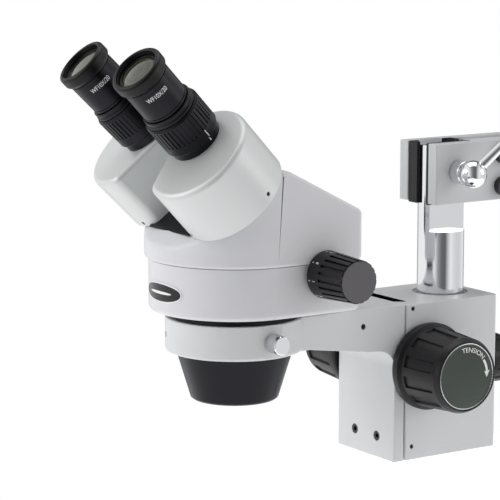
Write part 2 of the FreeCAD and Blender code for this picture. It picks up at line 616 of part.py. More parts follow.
knob_bore = "pinion_shaft_radius + running"
knob_long = "knob_end - knob_start"
knob_floor = cap_floor + " - knob_start"
knob_hollow = knob_floor + " - knob_web"
knob_inside = "knob_rim_radius - knob_wall"
knob_profile = [(knob_bore, "1"), ("knob_boss_radius", "1"), ("knob_boss_radius", knob_hollow),
                (knob_inside, knob_hollow), (knob_inside, "0"), ("knob_flange_radius", "0"),
                ("knob_flange_radius", "knob_flange_long"), ("knob_root_radius", "knob_flange_long"),
                ("knob_rim_radius", knob_long), ("knob_cap_radius + seam", knob_long),
                ("knob_cap_radius + seam", knob_floor), (knob_bore, knob_floor)]
for side, axis, sign in (("right", "x", ""), ("left", "-x", "0 - ")):
    knob = turned(knob_profile, axis, sign + "knob_start", "pinion_y", "pinion_z")
    flute(knob, "knob_root_radius + knob_lobe_cut - knob_lobe_depth", "knob_lobe_cut",
          "knob_flange_long + 4", knob_long + " - 5", "knob_lobes")
    node(knob, "focus_knob_" + side)
    cap = turned([("0", knob_floor), ("knob_cap_radius", knob_floor),
                  ("knob_cap_radius", knob_floor + " + knob_cap_thick"),
                  ("0", knob_floor + " + knob_cap_thick")],
                 axis, sign + "knob_start", "pinion_y", "pinion_z")
    node(cap, "knob_cap_" + side)

slide_bar = plate([("0 - slide_throat", "slide_front"), ("slide_throat", "slide_front"),
                   ("slide_throat", "slide_neck_y"), ("slide_half", "slide_wide_y"),
                   ("slide_half", "slide_back"), ("rack_half", "slide_back"),
                   ("rack_half", "rack_front"), ("0 - rack_half", "rack_front"),
                   ("0 - rack_half", "slide_back"), ("0 - slide_half", "slide_back"),
                   ("0 - slide_half", "slide_wide_y"), ("0 - slide_throat", "slide_neck_y")],
                  "XY_Plane", "slide_bottom", "slide_top")


def screw_bars(radius, low, high):
    return [rod(radius, "y", low, high, x=x, z="slide_screw_z")
            for x in ("slide_screw_x", "0 - slide_screw_x")]


screw_end = "arm_face + slide_screw_sink + slide_screw_long"
node(cut(slide_bar, *screw_bars("slide_screw_radius + running", "slide_front - 1", screw_end + " + 0.5")),
     "focus_slide")
rack_depth = VALUE["pinion_y"] - VALUE["focus_module"] * VALUE["focus_teeth"] / 2 - VALUE["rack_front"]
node(toothed_rack(VALUE["focus_module"], FOCUS_SLACK, VALUE["rack_half"], 1,
                  VALUE["rack_front"] + rack_depth, VALUE["rack_bottom"], VALUE["rack_top"],
                  VALUE["pinion_z"], rack_depth), "focus_rack")

screws = []
for shank, head, key in zip(screw_bars("slide_screw_radius", "arm_face + slide_screw_sink", screw_end),
                            screw_bars("slide_screw_head", "arm_face + 0.2", "arm_face + slide_screw_sink"),
                            screw_bars("slide_screw_head * 0.5", "arm_face", "arm_face + 2")):
    screws.append(cut(fuse(shank, head), key))
node(group(*screws), "slide_screws")

# ---- Holder ring, arm and upright, one casting --------------------------------------------

ring_bore = "neck_radius + running"
ring_body = turned([(ring_bore, "0 - ring_tall"), ("ring_radius", "0 - ring_tall"),
                    ("ring_radius", "0"), (ring_bore, "0")])
ring_foot = worth("0 - ring_tall")
ring_out = worth("ring_radius")
round_edges(ring_body, "ring_edge", lambda edge: abs(edge.BoundBox.ZMax - ring_foot) < 1e-4
            and edge.BoundBox.XMax > ring_out - 0.01)
arm_body = plate([("arm_start", "0"), ("slide_front", "0"), ("slide_front", "upright_bottom"),
                  ("arm_face", "upright_bottom"), ("arm_face", "arm_root"),
                  ("arm_slope_y", "arm_slope_z"), ("neck_radius", "0 - ring_tall"),
                  ("arm_start", "0 - ring_tall")],
                 "YZ_Plane", "0 - arm_half", "arm_half")
root_corner = (worth("arm_face"), worth("arm_root"))
round_edges(arm_body, "arm_fillet", lambda edge: abs(edge.BoundBox.YMin - root_corner[0]) < 1e-4
            and abs(edge.BoundBox.YMax - root_corner[0]) < 1e-4
            and abs(edge.BoundBox.ZMin - root_corner[1]) < 1e-4
            and abs(edge.BoundBox.ZMax - root_corner[1]) < 1e-4)
neck_room = rod(ring_bore, "z", "0 - ring_tall - 1", "1")
thumb_flat = block(("ring_flat_x", "ring_radius + 1"), ("0 - ring_flat_half", "ring_flat_half"),
                   ("0 - ring_tall - 1", "1"))
thumb_hole = rod("thumb_screw_radius + running", "x", "0", "ring_radius + 1", z="thumb_z")


def plug(radius, near, far):
    """The two small set screws: one in the arm's right side, one in the front of the ring."""
    side = rod(radius, "x", "arm_half - plug_long", "arm_half" + far, y="arm_plug_y", z="arm_plug_z")
    front = doc.addObject("Part::Cylinder", "plug")
    size(front, Radius=radius, Height="plug_long" + far)
    front.setExpression("Placement", bound(
        "placement(vector(0; head_y; thumb_z + head_z); rotation(vector(0; 0; 1); ring_plug_angle) * "
        "rotation(vector(1; 0; 0); 90)) * placement(vector(0; 0; ring_radius - plug_long); %s)" % UPRIGHT))
    return side, front


node(cut(fuse(ring_body, arm_body), neck_room, thumb_flat, thumb_hole,
         *plug("plug_radius + running", "", " + 1"),
         *screw_bars("slide_screw_radius + running", "arm_face - 1", "slide_front + 1"),
         *screw_bars("slide_screw_head + running", "arm_face - 1", "arm_face + slide_screw_sink")),
     "holder_arm")
node(group(*plug("plug_radius", "", " - 0.8")), "set_screws")

thumb_long = "thumb_start - thumb_tip"
node(turned([("0", "0"), ("thumb_screw_radius", "0"), ("thumb_screw_radius", thumb_long),
             ("thumb_radius", thumb_long), ("thumb_radius", "thumb_end - thumb_tip"),
             ("0", "thumb_end - thumb_tip")], "x", "thumb_tip", "0", "thumb_z"), "thumb_screw")

# ---- Black lens barrel, objective shroud and objectives -----------------------------------

barrel_low = "0 - ring_tall - seam"
node(turned([("barrel_bore", barrel_low), ("neck_radius", barrel_low), ("neck_radius", "seam / 2"),
             ("barrel_flange_radius", "seam / 2"), ("barrel_flange_radius", "barrel_flange_top"),
             ("barrel_bore", "barrel_flange_top")]), "lens_barrel")
node(turned([("barrel_bore", barrel_low), ("thread_radius", "shroud_bottom + thread_long"),
             ("thread_radius", "shroud_bottom"), ("shroud_end_radius - shroud_nose", "shroud_bottom"),
             ("shroud_end_radius", "shroud_bottom + shroud_nose"), ("neck_radius", barrel_low)]),
     "objective_shroud")
cell_z = ("cell_top - cell_thick", "cell_top")
cell_sides = ("objective_x", "0 - objective_x")
cell_holes = [rod("objective_radius + running", "z", "cell_top - cell_thick - 1", "cell_top + 1", x=x)
              for x in cell_sides]
node(cut(rod("barrel_bore - running", "z", *cell_z), *cell_holes), "objective_cell")
node(group(*[rod("objective_radius", "z", *cell_z, x=x) for x in cell_sides]), "objective_lenses")

# ---- Housings, seat plate, badge and guide rods -------------------------------------------


def roof_cut(base, drop):
    """Cut a tall body down to the roof: one tilted seat for each eye and the slope behind."""
    tools = []
    for side in (1, -1):
        slab = doc.addObject("Part::Box", "slab")
        size(slab, Length="4 * upper_radius", Width="4 * upper_radius", Height="2 * upper_radius")
        tilted(slab, side, "0 - 2 * upper_radius", "0 - 2 * upper_radius", "roof_seat - (%s)" % drop)
        tools.append(slab)
    slope = doc.addObject("Part::Box", "slab")
    size(slope, Length="4 * upper_radius", Width="4 * upper_radius", Height="2 * upper_radius")
    slope.setExpression("Placement", bound(
        "placement(vector(0; roof_back_y + head_y; roof_back_z + head_z); "
        "rotation(vector(1; 0; 0); 0 - roof_back_slope)) * "
        "placement(vector(0 - 2 * upper_radius; 0 - 2 * upper_radius; 0 - (%s)); %s)" % (drop, UPRIGHT)))
    tools.append(slope)
    return cut(base, *tools)


def hub_bores(radius):
    bores = []
    for side in (1, -1):
        bore = doc.addObject("Part::Cylinder", "hub_bore")
        size(bore, Radius=radius, Height="hub_room")
        bores.append(tilted(bore, side, "%d * pivot_x" % side, "pivot_q", "roof_seat - 0.75 * hub_room"))
    return bores


roof_high = "2 * upper_radius"
upper_low = "seam_z + seam / 2"
upper_body = d_body("upper_radius", "housing_back", upper_low, roof_high)
round_edges(upper_body, "back_corner", upright_edge_behind)
round_edges(upper_body, "upper_edge", at_height("seam_z + seam / 2"))
upper_outer = roof_cut(upper_body, "0")
upper_inner = roof_cut(d_body("upper_radius - wall", "housing_back - wall", "seam_z - 1", roof_high), "wall")
seat_zone = doc.addObject("Part::Box", "seat_zone")
size(seat_zone, Length="2 * seat_half", Width="seat_high - seat_low", Height="2 * upper_radius")
seat_zone.setExpression("Placement", bound(
    "placement(vector(0; head_y; head_z); rotation(vector(1; 0; 0); eye_tilt)) * "
    "placement(vector(0 - seat_half; seat_low; 0); %s)" % UPRIGHT))
seat_layer = common(cut(upper_outer, roof_cut(upper_body, "seat_sink")), seat_zone)
node(cut(seat_layer, *hub_bores("hub_radius + running")), "seat_plate")
node(cut(upper_outer, upper_inner, seat_layer, *hub_bores("hub_radius + running")), "upper_housing")

lower_body = d_body("lower_radius", "housing_back", "lower_bottom", "seam_z - seam / 2")
round_edges(lower_body, "back_corner", upright_edge_behind)
round_edges(lower_body, "lower_edge", at_height("lower_bottom"))
lower_inner = d_body("lower_radius - wall", "housing_back - wall", "lower_bottom + wall", "seam_z + 1")
floor_hole = rod("housing_floor_hole", "z", "lower_bottom - 1", "lower_bottom + wall + 1")
zoom_hole = rod("zoom_shaft_radius + running", "x", "0 - lower_radius - 1", "lower_radius + 1",
                y="zoom_y", z="zoom_z")
badge_oval = doc.addObject("Part::Ellipse", "badge_oval")
size(badge_oval, MajorRadius="badge_width / 2", MinorRadius="badge_tall / 2")
put(badge_oval, "0", "0 - lower_radius - 5", "badge_z", "rotation(vector(1; 0; 0); 90)")
badge_bar = doc.addObject("Part::Extrusion", "badge_bar")
badge_bar.Base = badge_oval
badge_bar.Dir = FreeCAD.Vector(0, 1, 0)
badge_bar.DirMode = "Custom"
badge_bar.Solid = True
size(badge_bar, LengthFwd="lower_radius")
badge_out = rod("lower_radius - badge_sink + badge_thick", "z", "lower_bottom", "seam_z")
badge_in = rod("lower_radius - badge_sink", "z", "lower_bottom - 1", "seam_z + 1")
badge = node(common(cut(badge_out, badge_in), badge_bar), "badge")
node(cut(lower_body, lower_inner, floor_hole, zoom_hole, badge), "lower_housing")

rod_places = ("rod_x", "0 - rod_x")
guide_rods = [rod("rod_radius", "z", "lower_bottom + wall", "rod_top", x=x, y="floor_rod_y")
              for x in rod_places]
node(group(*guide_rods), "guide_rods")

# ---- Zoom drive ---------------------------------------------------------------------------

ZOOM_SLACK = 0.16
zoom_gear = pinion_gear(VALUE["zoom_module"], VALUE["zoom_teeth"], ZOOM_SLACK,
                        VALUE["zoom_pinion_half"], VALUE["zoom_y"], VALUE["zoom_z"])
zoom_floor = "zoom_knob_end - zoom_knob_front"
zoom_bar = rod("zoom_shaft_radius", "x", "0 - (%s - 0.2)" % zoom_floor, zoom_floor + " - 0.2",
               y="zoom_y", z="zoom_z")
node(fuse(zoom_bar, zoom_gear), "zoom_shaft")

zoom_long = "zoom_knob_end - zoom_knob_start"
zoom_bore = "zoom_shaft_radius + running"
for side, axis, sign in (("right", "x", ""), ("left", "-x", "0 - ")):
    knob = turned([("0", zoom_long + " - zoom_knob_front"), (zoom_bore, zoom_long + " - zoom_knob_front"),
                   (zoom_bore, "0"), ("zoom_knob_root", "0"), ("zoom_knob_tip", zoom_long),
                   ("0", zoom_long)], axis, sign + "zoom_knob_start", "zoom_y", "zoom_z")
    flute(knob, "(zoom_knob_tip + zoom_knob_root) / 2 + zoom_flute_cut / 4", "zoom_flute_cut",
          "zoom_flute_start - zoom_knob_start", zoom_long + " + 1", "zoom_flutes")
    node(knob, "zoom_knob_" + side)

zoom_pitch_radius = VALUE["zoom_module"] * VALUE["zoom_teeth"] / 2


def lens_carriage(name, level, facing, reach):
    """A lens plate on two rods, with a rack bar that meets the pinion from one side."""
    low = "%s - lens_plate_thick / 2" % level
    high = "%s + lens_plate_thick / 2" % level
    flat = block(("0 - lens_plate_half", "lens_plate_half"), ("0 - lens_plate_deep", "lens_plate_deep"),
                 (low, high))
    parts = [flat]
    if facing > 0:
        parts.append(block(("0 - zoom_pinion_half", "zoom_pinion_half"), ("lens_plate_deep - 1", reach),
                           (low, high)))
    else:
        parts.append(block(("arm_gap", "arm_gap + arm_wide"), ("lens_plate_deep - 1", reach), (low, high)))
        parts.append(block(("0 - zoom_pinion_half", "arm_gap + arm_wide"), (reach + " - rack_bar", reach),
                           (low, high)))
    bar_low = "zoom_z - zoom_rack_half" if facing < 0 else low
    bar_high = high if facing < 0 else "zoom_z + zoom_rack_half"
    pitch_y = VALUE["zoom_y"] - facing * zoom_pitch_radius
    parts.append(toothed_rack(VALUE["zoom_module"], ZOOM_SLACK, VALUE["zoom_pinion_half"], facing,
                              pitch_y, worth(bar_low), worth(bar_high), VALUE["zoom_z"],
                              VALUE["rack_bar"]))
    holes = [rod("zoom_lens_radius + running", "z", low + " - 1", high + " + 1", x=x)
             for x in ("zoom_lens_x", "0 - zoom_lens_x")]
    slots = [rod("rod_radius + 2 * running", "z", low + " - 1", high + " + 1", x=x, y="floor_rod_y")
             for x in rod_places]
    node(cut(fuse(*parts), *holes, *slots), name + "_lens_carriage")
    lenses = [rod("zoom_lens_radius", "z", low, high, x=x) for x in ("zoom_lens_x", "0 - zoom_lens_x")]
    node(group(*lenses), name + "_zoom_lenses")


zoom_reach = "zoom_module * zoom_teeth / 2 + rack_bar"
lens_carriage("lower", "lower_lens_z", 1, "zoom_y - %s + 1" % zoom_reach)
lens_carriage("upper", "upper_lens_z", -1, "zoom_y + " + zoom_reach)

# ---- Prism boxes and eyepieces, one set for each eye --------------------------------------

box_tall = "box_face - box_low"
for side, word in ((1, "right"), (-1, "left")):
    spin = "box_turn" if side > 0 else "180 - box_turn"
    pivot = ("%d * pivot_x" % side, "pivot_q")
    tube = ("%d * tube_x" % side, "tube_q")

    shell = chord_body("box_radius", "box_flat", box_tall, "box_corner")
    round_edges(shell, "box_edge", at_height(box_tall))
    tilted(shell, side, *pivot, "box_low", spin)
    hollow = chord_body("box_radius - box_wall", "box_flat - box_wall", box_tall + " - box_wall + 1",
                        "box_corner - box_wall")
    tilted(hollow, side, *pivot, "box_low - 1", spin)
    tube_opening = doc.addObject("Part::Cylinder", "tube_opening")
    size(tube_opening, Radius="tube_hole", Height="2 * box_wall")
    tilted(tube_opening, side, *tube, "box_face - 1.5 * box_wall")
    screw_room = doc.addObject("Part::Cylinder", "screw_room")
    size(screw_room, Radius="box_screw_radius + running", Height="box_screw_long + 1")
    screw = doc.addObject("Part::Cylinder", "screw")
    size(screw, Radius="box_screw_radius", Height="box_screw_long - 0.4")
    heading = "box_screw_angle" if side > 0 else "180 - box_screw_angle"
    outward = "rotation(vector(0; 0; 1); %s) * rotation(vector(0; 1; 0); 90)" % heading
    for tool in (screw_room, screw):
        tool.setExpression("Placement", bound(
            "placement(vector(0; head_y; head_z); "
            "rotation(vector(1; 0; 0); eye_tilt) * rotation(vector(0; 1; 0); %d * toe_out)) * "
            "placement(vector(%s; %s; box_screw_w); %s) * "
            "placement(vector(0; 0; box_radius - box_screw_long); %s)"
            % (side, pivot[0], pivot[1], outward, UPRIGHT)))
    node(cut(shell, hollow, tube_opening, screw_room), "prism_box_" + word)
    node(group(screw), "box_screw_" + word)

    floor = chord_body("box_radius - box_wall - sliding", "box_flat - box_wall - sliding",
                       "base_thick", "box_corner - box_wall")
    tilted(floor, side, *pivot, "box_low", spin)
    hub = doc.addObject("Part::Cylinder", "hub")
    size(hub, Radius="hub_radius", Height="hub_long + base_thick")
    tilted(hub, side, *pivot, "box_low - hub_long")
    light_way = doc.addObject("Part::Cylinder", "light_way")
    size(light_way, Radius="hub_radius - hub_wall", Height="hub_long + base_thick + 2")
    tilted(light_way, side, *pivot, "box_low - hub_long - 1")
    node(cut(fuse(floor, hub), light_way), "prism_base_" + word)

    glass = plate([("0 - prism_long / 2", "0"), ("prism_long / 2", "0"),
                   ("prism_long / 2", "prism_tall * 0.55"), ("prism_long / 10", "prism_tall"),
                   ("0 - prism_long / 2", "prism_tall")],
                  "YZ_Plane", "0 - prism_wide / 2", "prism_wide / 2")
    tilted(glass, side, *pivot, "box_low + base_thick")
    node(glass, "prism_" + word)

    def eye_turned(profile, name):
        body = turned(profile)
        tilted(body, side, *tube, "box_face")
        return node(body, name + word)

    eye_turned([("tube_hole", "0"), ("tube_radius", "0"), ("tube_radius", "tube_long"),
                ("tube_bore", "tube_long"), ("tube_bore", "tube_floor"), ("tube_hole", "tube_floor")],
               "eye_tube_")
    sleeve_bore = "plug_in_radius + running"
    sleeve_out = sleeve_bore + " + sleeve_wall"
    eye_turned([(sleeve_bore, "sleeve_low"), (sleeve_out, "sleeve_low"), (sleeve_out, "collar_low"),
                ("collar_radius", "collar_low"), ("collar_radius", "collar_high"),
                (sleeve_bore, "collar_high")], "diopter_sleeve_")
    ring_bore = "tube_radius + 2 * running"
    ring = eye_turned([(ring_bore, "ring_low"), ("ring_out", "ring_low"), ("ring_out", "ring_high"),
                       (sleeve_out + " + running", "ring_high"),
                       (sleeve_out + " + running", "ring_high - ring_lip"),
                       (ring_bore, "ring_high - ring_lip")], "diopter_ring_")
    flute(ring, "ring_out + ring_flute_cut / 3", "ring_flute_cut", "ring_flute_low", "ring_high + 1",
          "ring_flutes")
    eye_turned([("eyepiece_bore", "plug_in_low"), ("plug_in_radius", "plug_in_low"),
                ("plug_in_radius", "eyepiece_shoulder"), ("eyepiece_radius", "eyepiece_shoulder"),
                ("eyepiece_radius", "rim_low"), ("rim_radius", "rim_low + 1.5"),
                ("rim_radius", "eyepiece_top"), ("rim_bore", "eyepiece_top"),
                ("eyepiece_bore", "eyepiece_top - rim_recess")], "eyepiece_")
    lens_out = "eyepiece_bore - running"
    eye_turned([("0", "eye_lens_low"), (lens_out, "eye_lens_low"),
                (lens_out, "eye_lens_low + eye_lens_thick * 0.6"),
                ("eyepiece_bore * 0.6", "eye_lens_low + eye_lens_thick * 0.9"),
                ("0", "eye_lens_low + eye_lens_thick")], "eye_lens_")

# ---- Check everything, then write one file for each sub-part ------------------------------

doc.recompute()
for thing in doc.Objects:
    if "Invalid" in thing.State or "Error" in thing.State:
        raise RuntimeError("%s (%s) failed: %s" % (thing.Name, thing.Label, thing.State))
for thing in NODES:
    if thing.Shape.isNull() or not thing.Shape.isValid() or not thing.Shape.Solids:
        raise RuntimeError("%s has no valid solid" % thing.Label)
os.makedirs("parts", exist_ok=True)
for thing in NODES:
    thing.Shape.exportStep("parts/%s.step" % thing.Label)
    print("%-24s solids %d volume %10.1f" % (thing.Label, len(thing.Shape.Solids), thing.Shape.Volume))
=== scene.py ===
"""Stereo zoom microscope head on its focusing block and boom clamp."""
import json
import math

import bmesh
import bpy
from mathutils import Matrix, Vector


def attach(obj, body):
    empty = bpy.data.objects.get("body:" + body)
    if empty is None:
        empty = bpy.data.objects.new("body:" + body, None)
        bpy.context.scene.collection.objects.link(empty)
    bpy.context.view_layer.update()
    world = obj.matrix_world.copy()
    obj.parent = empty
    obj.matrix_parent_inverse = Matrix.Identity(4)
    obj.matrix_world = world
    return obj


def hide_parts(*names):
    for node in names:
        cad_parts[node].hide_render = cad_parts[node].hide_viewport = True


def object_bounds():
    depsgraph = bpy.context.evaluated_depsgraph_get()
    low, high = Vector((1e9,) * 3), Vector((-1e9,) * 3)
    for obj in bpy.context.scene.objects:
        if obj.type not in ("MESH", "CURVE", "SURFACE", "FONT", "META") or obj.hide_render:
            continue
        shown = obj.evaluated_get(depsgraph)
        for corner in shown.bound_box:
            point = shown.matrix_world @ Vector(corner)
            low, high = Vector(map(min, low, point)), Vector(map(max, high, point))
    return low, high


bl_info = {
    "name": "Stereo Microscope",
    "version": (1, 0, 0),
    "blender": (4, 5, 0),
    "location": "View3D > Sidebar > Microscope",
    "description": "Models the painted shells, eyepieces, knobs and clamp around the frame",
    "category": "Object",
}

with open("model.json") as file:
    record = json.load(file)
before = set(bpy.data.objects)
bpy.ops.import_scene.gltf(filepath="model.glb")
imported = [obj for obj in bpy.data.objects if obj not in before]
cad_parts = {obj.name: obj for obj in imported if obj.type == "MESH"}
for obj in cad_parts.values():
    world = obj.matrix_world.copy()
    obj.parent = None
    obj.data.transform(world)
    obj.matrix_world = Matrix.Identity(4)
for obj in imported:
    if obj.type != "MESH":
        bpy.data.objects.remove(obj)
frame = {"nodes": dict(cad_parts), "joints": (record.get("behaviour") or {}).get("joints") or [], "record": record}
CAD_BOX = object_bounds()
JOINTS = {joint["name"]: joint for joint in frame["joints"]}
HEAD = Vector(JOINTS["head_swivel"]["pos_m"])
HEAD_FRAME = Matrix.Translation(HEAD)
SIDES = {"right": 1, "left": -1}
FULL_TURN = 2 * math.pi
MM = 0.001


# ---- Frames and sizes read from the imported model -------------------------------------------

def axes(origin, across, along):
    """A frame whose z runs along one direction and whose x is as near as can be to another."""
    z = Vector(along).normalized()
    x = (Vector(across) - Vector(across).dot(z) * z).normalized()
    turn = Matrix((x, z.cross(x), z)).transposed()
    return Matrix.Translation(Vector(origin)) @ turn.to_4x4()


def joint_frame(name, across=(0, 0, 1), flip=1):
    joint = JOINTS[name]
    return axes(joint["pos_m"], across, flip * Vector(joint["axis"]))


def extent(node, about=HEAD_FRAME):
    """Lowest and highest corner of a node, measured along the axes of a frame."""
    back = about.inverted()
    points = [back @ v.co for v in frame["nodes"][node].data.vertices]
    low = Vector(min(p[i] for p in points) for i in range(3))
    high = Vector(max(p[i] for p in points) for i in range(3))
    return low, high


# ---- Mesh helpers --------------------------------------------------------------------------

def rounded(corners, closed=False, step=math.radians(12)):
    """Points of an outline whose corners (x, y, radius) are rounded where they have a radius."""
    points = []
    count = len(corners)
    for index, (x, y, *extra) in enumerate(corners):
        here = Vector((x, y))
        radius = extra[0] if extra else 0
        if not radius or (not closed and index in (0, count - 1)):
            points.append(here)
            continue
        inward = (Vector(corners[index - 1][:2]) - here).normalized()
        outward = (Vector(corners[(index + 1) % count][:2]) - here).normalized()
        turn = math.pi - inward.angle(outward)
        centre = here + (inward + outward).normalized() * radius / math.cos(turn / 2)
        first = here + inward * radius * math.tan(turn / 2) - centre
        last = here + outward * radius * math.tan(turn / 2) - centre
        start = math.atan2(first.y, first.x)
        sweep = math.remainder(math.atan2(last.y, last.x) - start, FULL_TURN)
        steps = max(2, math.ceil(turn / step))
        for k in range(steps + 1):
            angle = start + sweep * k / steps
            points.append(centre + radius * Vector((math.cos(angle), math.sin(angle))))
    return points


def arc(radius, start, end, steps):
    """Points of an arc about the origin, both ends included, angles in degrees."""
    angles = [math.radians(start + (end - start) * k / steps) for k in range(steps + 1)]
    return [(radius * math.cos(a), radius * math.sin(a)) for a in angles]


def draw(name, points):
    """Start a mesh in edit mode and draw a chain of edges through the points."""
    bpy.ops.object.select_all(action="DESELECT")
    bpy.ops.mesh.primitive_plane_add(size=0.001)
    piece = bpy.context.object
    piece.name = name
    piece.data.name = name
    bpy.ops.object.mode_set(mode="EDIT")
    bpy.ops.mesh.select_mode(type="VERT")
    bpy.ops.mesh.select_all(action="SELECT")
    bpy.ops.mesh.merge(type="CENTER")
    here = Vector((0, 0, 0))
    bpy.ops.transform.translate(value=points[0] - here)
    for last, point in zip(points, points[1:]):
        bpy.ops.mesh.extrude_vertices_move(TRANSFORM_OT_translate={"value": point - last})
    return piece


def set_in(piece, place):
    """Leave edit mode and bake the piece's place into its mesh."""
    bpy.ops.mesh.select_all(action="SELECT")
    bpy.ops.mesh.remove_doubles(threshold=1e-6)
    bpy.ops.mesh.normals_make_consistent(inside=False)
    bpy.ops.object.mode_set(mode="OBJECT")
    piece.matrix_world = place
    bpy.ops.object.transform_apply(location=True, rotation=True, scale=True)
    return piece


def turned(name, corners, place, steps=96, closed=False):
    """A lathe-turned piece from (radius, height, fillet) corners, about a frame's z axis."""
    flat = rounded(corners, closed)
    if closed:
        flat.append(flat[0])
    piece = draw(name, [Vector((p.x, 0, p.y)) for p in flat])
    bpy.ops.mesh.select_all(action="SELECT")
    bpy.ops.mesh.spin(steps=steps, angle=FULL_TURN, center=(0, 0, 0), axis=(0, 0, 1))
    return set_in(piece, place)


def prism(name, outline, low, high, place, open_low=False, open_high=False):
    """A bar with a closed outline, from low to high along a frame's z axis."""
    flat = [Vector((p[0], p[1], low)) for p in outline]
    piece = draw(name, flat + flat[:1])
    bpy.ops.mesh.select_all(action="SELECT")
    bpy.ops.mesh.remove_doubles(threshold=1e-6)
    bpy.ops.mesh.edge_face_add()
    bpy.ops.mesh.extrude_region_move(TRANSFORM_OT_translate={"value": (0, 0, high - low)})
    set_in(piece, place)
    for wanted, level in ((open_low, low), (open_high, high)):
        if wanted:
            back = place.inverted()
            pick_faces(piece, lambda face: all(
                abs((back @ v.co).z - level) < 1e-6 for v in face.verts))
            bpy.ops.mesh.delete(type="FACE")
            bpy.ops.object.mode_set(mode="OBJECT")
    return piece


def activate(piece):
    bpy.ops.object.select_all(action="DESELECT")
    bpy.context.view_layer.objects.active = piece
    piece.select_set(True)


def pick_faces(piece, wanted):
    """Go into edit mode with only the wanted faces selected."""
    activate(piece)
    bpy.ops.object.mode_set(mode="EDIT")
    bpy.context.tool_settings.mesh_select_mode = (False, False, True)
    bpy.ops.mesh.select_all(action="DESELECT")
    work = bmesh.from_edit_mesh(piece.data)
    for face in work.faces:
        face.select_set(wanted(face))
    bmesh.update_edit_mesh(piece.data)


def round_edges(piece, width, wanted, segments=4):
    """Round the edges that a test picks by their place."""
    activate(piece)
    bpy.ops.object.mode_set(mode="EDIT")
    bpy.context.tool_settings.mesh_select_mode = (False, True, False)
    bpy.ops.mesh.select_all(action="DESELECT")
    work = bmesh.from_edit_mesh(piece.data)
    for edge in work.edges:
        edge.select_set(len(edge.link_faces) == 2 and wanted(edge))
    bmesh.update_edit_mesh(piece.data)
    bpy.ops.mesh.bevel(offset=width, segments=segments, profile=0.5, affect="EDGES")
    bpy.ops.object.mode_set(mode="OBJECT")
    return piece


def sharper_than(degrees):
    return lambda edge: edge.calc_face_angle(0) > math.radians(degrees)


def bisected(piece, point, normal):
    """Cut away what lies beyond a plane and close the cut."""
    activate(piece)
    bpy.ops.object.mode_set(mode="EDIT")
    bpy.ops.mesh.select_all(action="SELECT")
    bpy.ops.mesh.bisect(plane_co=point, plane_no=normal, use_fill=True, clear_outer=True)
    bpy.ops.object.mode_set(mode="OBJECT")
    return piece


def modified(piece, kind, **settings):
    """Add a modifier and apply it."""
    activate(piece)
    bpy.ops.object.modifier_add(type=kind)
    modifier = piece.modifiers[-1]
    for name, value in settings.items():
        setattr(modifier, name, value)
    bpy.ops.object.modifier_apply(modifier=modifier.name)
    return piece


def carved(piece, *tools, operation="DIFFERENCE"):
    """Cut tools out of a piece, or join them to it, and remove the tools."""
    for tool in tools:
        modified(piece, "BOOLEAN", object=tool, operation=operation, solver="EXACT")
        bpy.data.objects.remove(tool)
    return piece


def peg(radius, low, high, place, vertices=48):
    """A plain round tool from low to high along a frame's z axis."""
    return prism("peg", arc(radius, 0, 360 - 360 / vertices, vertices - 1), low, high, place)


def slab(low, high, place=HEAD_FRAME):
    """A plain box between two corners."""
    corners = [(low[0], low[1]), (high[0], low[1]), (high[0], high[1]), (low[0], high[1])]
    return prism("slab", corners, low[2], high[2], place)


def joined(name, *pieces):
    activate(pieces[0])
    for piece in pieces:
        piece.select_set(True)
    bpy.ops.object.join()
    pieces[0].name = name
    return pieces[0]


def finished(piece, body, slot, finish, *nodes, smooth=32):
    """Shade a piece, give it its finish, and hang it on its body in place of the frame's nodes."""
    activate(piece)
    bpy.ops.object.shade_smooth_by_angle(angle=math.radians(smooth))
    modified(piece, "WEIGHTED_NORMAL", keep_sharp=True)
    piece.data.materials.clear()
    piece.data.materials.append(finish)
    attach(piece, body)
    if nodes:
        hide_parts(*nodes)
    return piece


def wrapped_text(name, words, size, place, radius, height, angle, lift=0.00003, tall=1.3):
    """Raised lettering round a cylinder about a frame's z axis, its top towards +z."""
    bpy.ops.object.select_all(action="DESELECT")
    bpy.ops.object.text_add()
    piece = bpy.context.object
    piece.name = name
    piece.data.body = words
    piece.data.size = size
    piece.data.extrude = 0.00006
    piece.data.align_x = "CENTER"
    piece.data.align_y = "CENTER"
    bpy.ops.object.convert(target="MESH")
    for vertex in piece.data.vertices:
        x, y, z = vertex.co
        around = angle + x / radius
        out = radius + z + lift
        vertex.co = place @ Vector((out * math.cos(around), out * math.sin(around), height + tall * y))
    return piece


# ---- Finishes ------------------------------------------------------------------------------

def node_setup(name):
    finish = bpy.data.materials.new(name)
    finish.use_nodes = True
    tree = finish.node_tree
    shader = tree.nodes["Principled BSDF"]
    coords = tree.nodes.new("ShaderNodeTexCoord")
    return finish, tree, shader, coords.outputs["Object"]


def speckle(tree, coords, scale, detail=3.0, stretch=None):
    """A noise pattern, drawn out along an axis where stretch is given."""
    if stretch:
        mapping = tree.nodes.new("ShaderNodeMapping")
        mapping.inputs["Scale"].default_value = stretch
        tree.links.new(coords, mapping.inputs["Vector"])
        coords = mapping.outputs["Vector"]
    noise = tree.nodes.new("ShaderNodeTexNoise")
    noise.inputs["Scale"].default_value = scale
    noise.inputs["Detail"].default_value = detail
    tree.links.new(coords, noise.inputs["Vector"])
    return noise.outputs["Fac"]


def ramp(tree, value, stops):
    """A colour ramp from (position, colour) stops."""
    node = tree.nodes.new("ShaderNodeValToRGB")
    node.color_ramp.elements[0].position, node.color_ramp.elements[0].color = stops[0][0], stops[0][1]
    node.color_ramp.elements[1].position, node.color_ramp.elements[1].color = stops[-1][0], stops[-1][1]
    for position, colour in stops[1:-1]:
        node.color_ramp.elements.new(position).color = colour
    tree.links.new(value, node.inputs["Fac"])
    return node.outputs["Color"]


